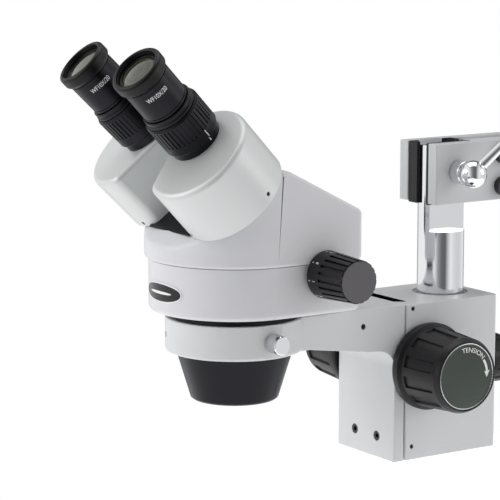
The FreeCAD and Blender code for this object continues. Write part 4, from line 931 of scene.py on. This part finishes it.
class MICROSCOPE_OT_zoom_knobs(bpy.types.Operator):
    """Turn both zoom knobs, with lugs, a plain numbered band and a grey face"""
    bl_idname = "microscope.zoom_knobs"
    bl_label = "Zoom knobs"

    def execute(self, context):
        knobs = settings(context, "knobs")
        made = finishes()
        per = 8
        for word, side in SIDES.items():
            place = joint_frame("zoom_turn", (0, -1, 0), side)
            low, high = extent("zoom_knob_" + word, place)
            root, tip = high.x, 13.7 * MM
            lug_start, lug_end = low.z + 11.5 * MM, high.z - 0.9 * MM

            def at(level):
                return root + (tip - root) * (level - low.z) / (high.z - low.z)

            knob = turned("zoom_grip_" + word, [
                (0, low.z), (root, low.z, 0.6 * MM), (at(lug_start), lug_start), (at(lug_end), lug_end),
                (tip - 0.5 * MM, high.z - 0.5 * MM), (0, high.z - 0.5 * MM)],
                place, knobs.zoom_lugs * per)
            flutes(knob, place, tip, lug_start, high.z - 0.55 * MM, knobs.zoom_lugs, per, (0, 1, 2),
                   -knobs.zoom_lug_height)
            finished(knob, "zoom_drive", "black_plastic", made["moulded_black"], "zoom_knob_" + word)
            face = turned("zoom_face_" + word, [
                (0, high.z - 1.2 * MM), (tip - 0.7 * MM, high.z - 1.2 * MM),
                (tip - 0.7 * MM, high.z, 0.2 * MM), (0, high.z)], place, 96)
            finished(face, "zoom_drive", "black_plastic", made["knob_face"])
            marks = []
            for k in range(8):
                angle = FULL_TURN * k / 8 + math.radians(8)
                marks.append(wrapped_text("number", str(k + 1), 3.0 * MM, place, root - 0.25 * MM,
                                          low.z + 7.2 * MM, angle))
                marks.append(prism("tick", rounded([
                    (root - 0.4 * MM, -0.22 * MM, 0.05 * MM), (root + 0.02 * MM, -0.22 * MM, 0.05 * MM),
                    (root + 0.02 * MM, 0.22 * MM, 0.05 * MM), (root - 0.4 * MM, 0.22 * MM, 0.05 * MM)], True),
                    low.z + 2.2 * MM, low.z + 3.6 * MM, place @ Matrix.Rotation(angle, 4, "Z")))
            finished(joined("zoom_marks_" + word, *marks), "zoom_drive", "white_paint", made["white_marking"])
        return {"FINISHED"}


class MICROSCOPE_OT_focus_knobs(bpy.types.Operator):
    """Turn both focusing knobs, with raised ribs, a bright ring and a glossy cap"""
    bl_idname = "microscope.focus_knobs"
    bl_label = "Focusing knobs"

    def execute(self, context):
        knobs = settings(context, "knobs")
        made = finishes()
        per = 12
        for word, side in SIDES.items():
            body = "pinion" if side > 0 else "tension_knob"
            place = joint_frame("pinion_turn", (0, -1, 0), side)
            low, high = extent("focus_knob_" + word, place)
            cap = extent("knob_cap_" + word, place)[1].x
            flange, root, rim = high.x, 27.6 * MM, 24.9 * MM
            shelf = low.z + 6.8 * MM
            rib_start, rib_end = shelf + 3.5 * MM, high.z - 6.5 * MM

            def at(level):
                return root + (rim - root) * (level - shelf) / (high.z - shelf)

            knob = turned("focus_grip_" + word, [
                (4.2 * MM, low.z), (flange - 0.6 * MM, low.z, 0.5 * MM), (flange, low.z + 2.0 * MM, 0.8 * MM),
                (flange, shelf - 0.8 * MM, 0.8 * MM), (root + 0.6 * MM, shelf, 0.4 * MM),
                (root - 0.2 * MM, shelf + 0.5 * MM, 0.3 * MM), (at(rib_start), rib_start), (at(rib_end), rib_end),
                (at(high.z - 3.8 * MM), high.z - 3.8 * MM, 1.5 * MM), (rim - 1.6 * MM, high.z, 1.3 * MM),
                (cap + 0.9 * MM, high.z, 0.5 * MM), (cap + 0.6 * MM, high.z - 1.6 * MM),
                (4.2 * MM, high.z - 1.6 * MM)], place, knobs.focus_ribs * per, closed=True)
            flutes(knob, place, rim, rib_start, rib_end, knobs.focus_ribs, per, range(2, 9),
                   knobs.focus_rib_height, 0.45 * MM)
            finished(knob, body, "black_plastic", made["moulded_black"], "focus_knob_" + word)
            ring = turned("cap_ring_" + word, [
                (cap - 0.2 * MM, high.z - 1.6 * MM), (cap + 0.75 * MM, high.z - 1.6 * MM),
                (cap + 0.75 * MM, high.z - 0.5 * MM, 0.2 * MM), (cap + 0.2 * MM, high.z - 0.2 * MM, 0.2 * MM),
                (cap - 0.2 * MM, high.z - 0.6 * MM, 0.1 * MM)], place, 128, closed=True)
            finished(ring, body, "cap_gloss", made["ground_steel"])
            dome = [(cap * (1 - k / 10), high.z - 0.9 * MM + 0.5 * MM * (1 - (1 - k / 10) ** 2))
                    for k in range(11)]
            disc = turned("cap_" + word, [(0, high.z - 3 * MM), (cap, high.z - 3 * MM)] + dome, place, 128)
            finished(disc, body, "cap_gloss", made["gloss_cap"], "knob_cap_" + word, smooth=50)
            label = self.label(place, cap, high.z, side)
            finished(label, body, "white_paint", made["white_marking"])
            label.name = "turn_marks_" + word
        return {"FINISHED"}

    def label(self, place, cap, level, side):
        """The word round the cap's edge and a curved arrow after it, both facing outwards."""
        reach, low, high = 0.78 * cap, level - 1.2 * MM, level - 0.42 * MM

        def at(degrees, radius):
            angle = math.radians(degrees)
            return Vector((-side * radius * math.sin(angle), -side * radius * math.cos(angle)))

        band = [at(55 + 29 * k / 12, reach + 0.9 * MM) for k in range(13)]
        band += [at(84 - 29 * k / 12, reach - 0.7 * MM) for k in range(13)]
        tip = [at(83, reach + 2.2 * MM), at(97, reach), at(83, reach - 2.0 * MM)]
        parts = [prism("mark", outline, low, high, place) for outline in (band, tip)]
        bpy.ops.object.select_all(action="DESELECT")
        bpy.ops.object.text_add()
        word = bpy.context.object
        word.data.body = "TENSION"
        word.data.size = 4.6 * MM
        word.data.extrude = 0.1 * MM
        word.data.align_x = "CENTER"
        bpy.ops.object.convert(target="MESH")
        for vertex in word.data.vertices:
            x, y, z = vertex.co
            spot = at(19 + math.degrees(x / reach), reach - 0.6 * MM + y)
            vertex.co = place @ Vector((spot.x, spot.y, level - 0.5 * MM + z))
        return joined("turn_marks", *parts, word)


class MICROSCOPE_OT_screw_knobs(bpy.types.Operator):
    """Turn the knurled thumb screw, the block's lock knob and the boom lock screw"""
    bl_idname = "microscope.screw_knobs"
    bl_label = "Thumb screw and lock knobs"

    def execute(self, context):
        knobs = settings(context, "knobs")
        made = finishes()
        place = joint_frame("thumb_screw_turn")
        low, high = extent("thumb_screw", place)
        head, shank = high.x, 3 * MM
        shoulder = high.z - 10.2 * MM
        per = 3
        screw = turned("thumb_knob", [
            (0, low.z), (shank - 0.5 * MM, low.z), (shank, low.z + 0.5 * MM), (shank, shoulder),
            (head, shoulder, 0.4 * MM), (head, shoulder + 0.9 * MM), (head, high.z - 1.6 * MM),
            (head, high.z - 0.7 * MM), (head - 0.6 * MM, high.z, 0.2 * MM), (0, high.z)],
            place, knobs.knurl * per)
        flutes(screw, place, head, shoulder + 0.9 * MM, high.z - 1.6 * MM, knobs.knurl, per, (0,), -0.3 * MM)
        finished(screw, "thumb_screw", "chrome", made["chrome"], "thumb_screw")
        for node, body, joint, flip, count in (("block_lock_knob", "block_lock", "block_lock_turn", 1, 12),
                                               ("boom_lock_screw", "boom_lock", "boom_lock_turn", 1, 10)):
            place = joint_frame(joint, (1, 0, 0), flip)
            low, high = extent(node, place)
            out, shank, long = high.x, 4 * MM, (24 if node == "block_lock_knob" else 14) * MM
            base = high.z - long
            piece = turned(node.replace("_knob", "_grip").replace("_screw", "_grip"), [
                (0, low.z), (shank, low.z, 0.4 * MM), (shank, base), (0.62 * out, base, 0.5 * MM),
                (0.68 * out, base + 0.22 * long, 1.5 * MM), (out, base + 0.34 * long, 1.0 * MM),
                (out, base + 0.42 * long), (out, high.z - 0.16 * long), (out, high.z, 2.2 * MM),
                (0.6 * out, high.z, 0.5 * MM), (0.55 * out, high.z - 0.8 * MM, 0.3 * MM), (0, high.z - 0.8 * MM)],
                place, count * 8)
            flutes(piece, place, out, base + 0.4 * long, high.z - 0.16 * long, count, 8, (0, 1, 2, 3, 4),
                   -0.06 * out, 0.5 * MM)
            finished(piece, body, "black_plastic", made["moulded_black"], node)
        return {"FINISHED"}


# ---- Holder arm, focusing block and clamp --------------------------------------------------

SIDEWAYS = HEAD_FRAME @ Matrix(((0, 0, 1, 0), (1, 0, 0, 0), (0, 1, 0, 0), (0, 0, 0, 1)))


class MICROSCOPE_OT_holder_arm(bpy.types.Operator):
    """Model the holder ring, arm and upright as one casting, with its screws"""
    bl_idname = "microscope.holder_arm"
    bl_label = "Holder arm"

    def execute(self, context):
        stand = settings(context, "stand")
        made = finishes()
        low, high = extent("holder_arm")
        ring, bore = -low.y, extent("objective_shroud")[1].x + 0.1 * MM
        tall, half = 22.4 * MM, 32 * MM
        face = extent("focus_slide")[0].y - 8.3 * MM
        arm = prism("holder_casting", rounded([
            (20 * MM, 0), (high.y, 0), (high.y, low.z), (face, low.z), (face, -30.7 * MM, stand.arm_fillet),
            (85 * MM, -29.3 * MM, 12 * MM), (bore, -tall), (20 * MM, -tall)], True, math.radians(6)),
            -half, half, SIDEWAYS)
        round_edges(arm, stand.casting_edge, sharper_than(40), 3)
        hoop = turned("hoop", [
            (bore - MM, -tall), (ring, -tall, stand.ring_foot), (ring, 0, stand.casting_edge), (bore - MM, 0)],
            HEAD_FRAME, 160, closed=True)
        carved(arm, hoop, operation="UNION")
        carved(arm, peg(bore, -tall - MM, MM, HEAD_FRAME, 160))
        carved(arm, slab((44.5 * MM, -6.75 * MM, -tall - MM), (ring + MM, 6.75 * MM, MM)))
        thumb = joint_frame("thumb_screw_turn")
        holes = [peg(3.2 * MM, -10 * MM, 10 * MM, thumb, 32)]
        plug = axes(HEAD + Vector((half, 80.2 * MM, -11.6 * MM)), (0, 0, 1), (1, 0, 0))
        turn = math.radians(-22)
        out = Vector((math.sin(turn), -math.cos(turn), 0))
        front = axes(HEAD + Vector((0, 0, -11.3 * MM)) + out * ring, (0, 0, 1), out)
        for spot in (plug, front):
            holes.append(peg(2.0 * MM, -5 * MM, 2 * MM, spot, 32))
        screws = [axes(HEAD + Vector((x, face, -92.4 * MM)), (0, 0, 1), (0, -1, 0))
                  for x in (-12.5 * MM, 12.5 * MM)]
        holes += [peg(3.5 * MM, -3.2 * MM, MM, spot) for spot in screws]
        carved(arm, *holes)
        finished(arm, "carriage", "grey_paint", made["stand_paint"], "holder_arm")
        self.socket_screws("plug_screws", (plug, front), 1.9 * MM, -0.8 * MM, made, "set_screws")
        self.socket_screws("slide_bolts", screws, 3.4 * MM, -0.4 * MM, made, "slide_screws")
        return {"FINISHED"}

    def socket_screws(self, name, spots, radius, top, made, node):
        """Black screws with a hexagon socket, one at each spot."""
        parts = []
        for spot in spots:
            screw = turned("screw", [
                (0, top - 3 * MM), (radius, top - 3 * MM), (radius, top, 0.25 * MM), (0, top)], spot, 48)
            carved(screw, peg(0.52 * radius, top - 1.6 * MM, top + MM, spot, 6))
            parts.append(screw)
        finished(joined(name, *parts), "carriage", "black_steel", made["dark_steel"], node)


class MICROSCOPE_OT_focus_block(bpy.types.Operator):
    """Model the focusing block with its post bore, dovetail groove and screw holes"""
    bl_idname = "microscope.focus_block"
    bl_label = "Focusing block"

    def execute(self, context):
        stand = settings(context, "stand")
        made = finishes()
        low, high = extent("focus_block")
        inner, outer = extent("focus_slide")
        throat, wide = 15.75 * MM, outer.x + 0.15 * MM
        neck, step, back = 116.2 * MM, 122 * MM, outer.y + 0.15 * MM
        edge = 1.2 * MM
        block = prism("block_casting", rounded([
            (low.x, low.y, edge), (-throat, low.y), (-throat, neck), (-wide, step), (-wide, back),
            (wide, back), (wide, step), (throat, neck), (throat, low.y), (high.x, low.y, edge),
            (high.x, high.y, 2 * edge), (low.x, high.y, 2 * edge)], True), low.z, high.z, HEAD_FRAME)
        round_edges(block, stand.casting_edge, lambda edge: edge.calc_face_angle(0) > 1.2 and (
            abs(edge.verts[0].co.z - edge.verts[1].co.z) < 0.01 * MM) and max(
            abs(v.co.x) for v in edge.verts) > throat - 0.01 * MM, 3)
        post = joint_frame("block_swivel", (1, 0, 0))
        bush = extent("post_bush")[1].x
        holes = [peg(bush + 0.1 * MM, low.z - 0.05, high.z + 0.05, post, 96)]
        pinion = joint_frame("pinion_turn")
        holes.append(peg(7.6 * MM, -40 * MM, 40 * MM, pinion))
        lock = joint_frame("block_lock_turn", (1, 0, 0))
        holes.append(peg(4.2 * MM, -10 * MM, 10 * MM, lock))
        lowest, highest = extent("gib_screws")
        spots = [axes(HEAD + Vector((high.x, 121 * MM, highest.z - 1.5 * MM - k * 31.4 * MM)),
                      (0, 0, 1), (1, 0, 0)) for k in range(4)]
        holes += [peg(1.6 * MM, -6 * MM, 2 * MM, spot, 32) for spot in spots]
        carved(block, *holes)
        finished(block, "focus_block", "grey_paint", made["stand_paint"], "focus_block")
        parts = []
        for spot in spots:
            screw = turned("screw", [(0, -5 * MM), (1.5 * MM, -5 * MM), (1.5 * MM, -0.6 * MM, 0.2 * MM),
                                     (0, -0.6 * MM)], spot, 32)
            parts.append(carved(screw, peg(0.8 * MM, -2 * MM, MM, spot, 6)))
        finished(joined("gib_grubs", *parts), "focus_block", "black_steel", made["dark_steel"], "gib_screws")
        low, high = extent("post_bush", post)
        bore = extent("post", post)[1].x + 0.05 * MM
        liner = turned("bush", [(bore, low.z), (high.x, low.z, 0.4 * MM), (high.x, high.z, 0.5 * MM),
                                (bore, high.z, 0.8 * MM)], post, 128, closed=True)
        finished(liner, "post_bush", "black_plastic", made["bush_nylon"], "post_bush")
        return {"FINISHED"}


class MICROSCOPE_OT_boom_clamp(bpy.types.Operator):
    """Model the post, clamp plates, jaws, lever and boom socket"""
    bl_idname = "microscope.boom_clamp"
    bl_label = "Post and boom clamp"

    def execute(self, context):
        stand = settings(context, "stand")
        made = finishes()
        post = joint_frame("block_swivel", (1, 0, 0))
        low, high = extent("post", post)
        bar = turned("post_bar", [(0, low.z), (high.x, low.z, 1.5 * MM), (high.x, high.z, 0.8 * MM),
                                  (0, high.z)], post, 192)
        level = extent("post")
        flat_start = 42 * MM
        carved(bar, slab((6.2 * MM, level[0].y - MM, flat_start), (high.x + MM, level[1].y + MM, level[1].z + MM)))
        finished(bar, "boom_clamp", "chrome", made["chrome"], "post", smooth=40)
        bolts = extent("plate_bolts")
        for node, finish, edge in (("clamp_plate_right", "plate_paint", stand.plate_edge),
                                   ("clamp_plate_left", "plate_paint", stand.plate_edge),
                                   ("post_liner_right", "moulded_black", 0.4 * MM),
                                   ("post_liner_left", "moulded_black", 0.4 * MM)):
            low, high = extent(node)
            plate = slab(low, high)
            plate.name = node.replace("clamp_plate", "cheek").replace("post_liner", "jaw")
            round_edges(plate, edge, sharper_than(40), 3)
            if "liner_left" in node or "plate_left" in node:
                carved(plate, peg(16.3 * MM, 50 * MM, 120 * MM,
                                  HEAD_FRAME @ Matrix.Translation((0, 168.4 * MM, 0)), 96))
            if "plate" in node:
                for y in (206 * MM, 228 * MM):
                    for z in (71.5 * MM, 93.5 * MM):
                        spot = axes(HEAD + Vector((0, y, z)), (0, 0, 1), (1, 0, 0))
                        carved(plate, peg(4.1 * MM, low.x - MM, high.x + MM, spot, 48))
            slot = "satin_plate" if "plate" in node else "black_plastic"
            finished(plate, "boom_clamp", slot, made[finish], node)
        self.socket(stand, made)
        self.lever(made)
        return {"FINISHED"}

    def socket(self, stand, made):
        low, high = extent("boom_socket")
        front = 242 * MM
        body = prism("boom_block", rounded([
            (low.x, front, 3 * MM), (high.x, front, 3 * MM), (high.x, high.y, 3 * MM), (low.x, high.y, 3 * MM)],
            True), low.z, high.z, HEAD_FRAME)
        round_edges(body, 1.2 * MM, sharper_than(60), 4)
        tongue = slab((-13 * MM, low.y, 64 * MM), (9.5 * MM, front + MM, 101 * MM))
        carved(body, tongue, operation="UNION")
        mount = frame["record"]["mounts"][0]
        boom = axes(mount["pos_m"], (0, 0, 1), mount["axis"])
        carved(body, peg(mount["dims"]["r_mm"] * MM, -mount["dims"]["length_mm"] * MM, MM, boom, 96))
        for y in (206 * MM, 228 * MM):
            for z in (71.5 * MM, 93.5 * MM):
                spot = axes(HEAD + Vector((0, y, z)), (0, 0, 1), (1, 0, 0))
                carved(body, peg(4.1 * MM, -20 * MM, 20 * MM, spot, 48))
        lock = joint_frame("boom_lock_turn", (1, 0, 0))
        carved(body, peg(4.1 * MM, 0, 40 * MM, lock, 48))
        finished(body, "boom_clamp", "satin_plate", made["plate_paint"], "boom_socket")

    def lever(self, made):
        place = joint_frame("clamp_lever_turn")
        ball = 9.5 * MM
        turn = Matrix.Rotation(math.radians(65), 4, "Z") @ Matrix.Rotation(math.radians(90 - 44), 4, "Y")
        rod_place = Matrix.Translation(place.translation) @ turn
        stud = turned("stud", [
            (0, -24.5 * MM), (5 * MM, -24.5 * MM), (5 * MM, -15.2 * MM), (8.2 * MM, -15.2 * MM, 0.6 * MM),
            (8.2 * MM, -6.4 * MM, 1.2 * MM), (6.4 * MM, -5.6 * MM, 0.5 * MM), (0, -5.6 * MM)], place, 96)
        globe = turned("globe", [(0, -ball)] + [(ball * math.cos(a), ball * math.sin(a)) for a in
                       [math.radians(-90 + 180 * k / 48) for k in range(1, 48)]] + [(0, ball)], place, 96)
        rod = turned("rod", [(0, 0), (3.6 * MM, 0), (3.6 * MM, 9 * MM), (2.6 * MM, 58 * MM, 0.4 * MM),
                             (0, 58 * MM)], rod_place, 64)
        finished(joined("lever_arm", globe, stud, rod), "clamp_lever", "chrome", made["chrome"],
                 "clamp_lever")
        grip = turned("lever_grip", [
            (0, 50 * MM), (4.2 * MM, 50 * MM, 0.5 * MM), (4.6 * MM, 53 * MM, 2 * MM), (8 * MM, 60 * MM, 6 * MM),
            (8 * MM, 66 * MM, 5 * MM), (4.5 * MM, 69.9 * MM, 3 * MM), (0, 70 * MM)], rod_place, 64)
        finished(grip, "clamp_lever", "black_plastic", made["moulded_black"], "lever_knob", smooth=50)


class MICROSCOPE_OT_stage(bpy.types.Operator):
    """Floor, backdrop, soft lights and the camera"""
    bl_idname = "microscope.stage"
    bl_label = "Stage"

    def execute(self, context):
        view = settings(context, "camera_view")
        low, high = CAD_BOX
        middle = (low + high) / 2
        finish = paint("stage_white", (0.9, 0.9, 0.9), 0.6, 40.0, 0.0001, variation=0.005)
        glow = finish.node_tree.nodes["Principled BSDF"]
        glow.inputs["Emission Color"].default_value = (1, 1, 1, 1)
        glow.inputs["Emission Strength"].default_value = view.floor_glow
        bpy.ops.object.select_all(action="DESELECT")
        bpy.ops.mesh.primitive_plane_add(size=1.6, location=(0, 0, low.z - 0.25))
        floor = context.object
        floor.name = "floor"
        floor.data.materials.append(finish)
        world = bpy.data.worlds.new("studio")
        world.use_nodes = True
        tree = world.node_tree
        context.scene.world = world
        context.scene.view_settings.view_transform = "Standard"
        back = Vector((math.sin(view.azimuth) * math.cos(view.elevation),
                       -math.cos(view.azimuth) * math.cos(view.elevation), math.sin(view.elevation)))
        bpy.ops.object.camera_add(location=view.place)
        camera = context.object
        camera.rotation_euler = (-back).to_track_quat("-Z", "Y").to_euler()
        camera.data.lens = view.lens
        camera.data.sensor_width = 36
        camera.data.clip_start = 0.05
        camera.data.clip_end = 50
        context.scene.camera = camera
        across = Vector((0, 0, 1)).cross(back).normalized()
        heading = tree.nodes.new("ShaderNodeTexCoord").outputs["Generated"]
        dot = tree.nodes.new("ShaderNodeVectorMath")
        dot.operation = "DOT_PRODUCT"
        dot.inputs[1].default_value = across
        tree.links.new(heading, dot.inputs[0])
        place = tree.nodes.new("ShaderNodeMapRange")
        place.inputs["From Min"].default_value = -1
        place.inputs["From Max"].default_value = 1
        tree.links.new(dot.outputs["Value"], place.inputs["Value"])
        glow = ramp(tree, place.outputs["Result"], [
            (0.0, (1.0, 1.0, 1.0, 1)), (0.20, (0.95, 0.95, 0.96, 1)), (0.36, (0.34, 0.34, 0.35, 1)),
            (0.50, (0.16, 0.16, 0.17, 1)), (0.66, (0.13, 0.13, 0.14, 1)), (0.76, (0.55, 0.55, 0.56, 1)),
            (0.86, (0.95, 0.95, 0.95, 1)), (1.0, (0.7, 0.7, 0.71, 1))])
        studio = tree.nodes["Background"]
        tree.links.new(glow, studio.inputs["Color"])
        backdrop = tree.nodes.new("ShaderNodeBackground")
        backdrop.inputs["Color"].default_value = (1, 1, 1, 1)
        seen = tree.nodes.new("ShaderNodeMixShader")
        tree.links.new(tree.nodes.new("ShaderNodeLightPath").outputs["Is Camera Ray"], seen.inputs["Fac"])
        tree.links.new(studio.outputs["Background"], seen.inputs[1])
        tree.links.new(backdrop.outputs["Background"], seen.inputs[2])
        tree.links.new(seen.outputs["Shader"], tree.nodes["World Output"].inputs["Surface"])
        for name, place, power, size in (
                ("left_light", back * 0.35 - across * 1.4 + Vector((0, 0, 0.45)), view.left_power, 0.9),
                ("right_light", back * 0.2 + across * 1.4 + Vector((0, 0, 0.35)), view.right_power, 0.7),
                ("top_light", Vector((0, 0, 1.5)) - back * 0.3, view.top_power, 1.2)):
            bpy.ops.object.light_add(type="AREA", location=middle + place)
            light = context.object
            light.name = name
            light.data.energy = power
            light.data.size = size
            light.rotation_euler = (-place).to_track_quat("-Z", "Y").to_euler()
        return {"FINISHED"}


OPERATORS = [MICROSCOPE_OT_finishes, MICROSCOPE_OT_lower_shell, MICROSCOPE_OT_upper_shell,
             MICROSCOPE_OT_trim, MICROSCOPE_OT_lens_end, MICROSCOPE_OT_prism_boxes,
             MICROSCOPE_OT_eyepieces, MICROSCOPE_OT_zoom_knobs, MICROSCOPE_OT_focus_knobs,
             MICROSCOPE_OT_screw_knobs, MICROSCOPE_OT_holder_arm, MICROSCOPE_OT_focus_block,
             MICROSCOPE_OT_boom_clamp, MICROSCOPE_OT_stage]


class MICROSCOPE_PT_panel(bpy.types.Panel):
    """Lists the pieces and the sizes that shape them"""
    bl_idname = "MICROSCOPE_PT_panel"
    bl_label = "Stereo Microscope"
    bl_space_type = "VIEW_3D"
    bl_region_type = "UI"
    bl_category = "Microscope"

    def draw(self, context):
        for operator in OPERATORS:
            self.layout.operator(operator.bl_idname)
        for group in GROUPS:
            values = settings(context, group)
            for name in values.__annotations__:
                self.layout.prop(values, name)


def register():
    for group, kind in GROUPS.items():
        bpy.utils.register_class(kind)
        setattr(bpy.types.Scene, "microscope_" + group, bpy.props.PointerProperty(type=kind))
    for kind in OPERATORS + [MICROSCOPE_PT_panel]:
        bpy.utils.register_class(kind)


def unregister():
    for kind in [MICROSCOPE_PT_panel] + OPERATORS[::-1]:
        bpy.utils.unregister_class(kind)
    for group, kind in GROUPS.items():
        delattr(bpy.types.Scene, "microscope_" + group)
        bpy.utils.unregister_class(kind)


def main():
    register()
    for operator in OPERATORS:
        category, name = operator.bl_idname.split(".")
        getattr(getattr(bpy.ops, category), name)()


if __name__ == "__main__":
    main()
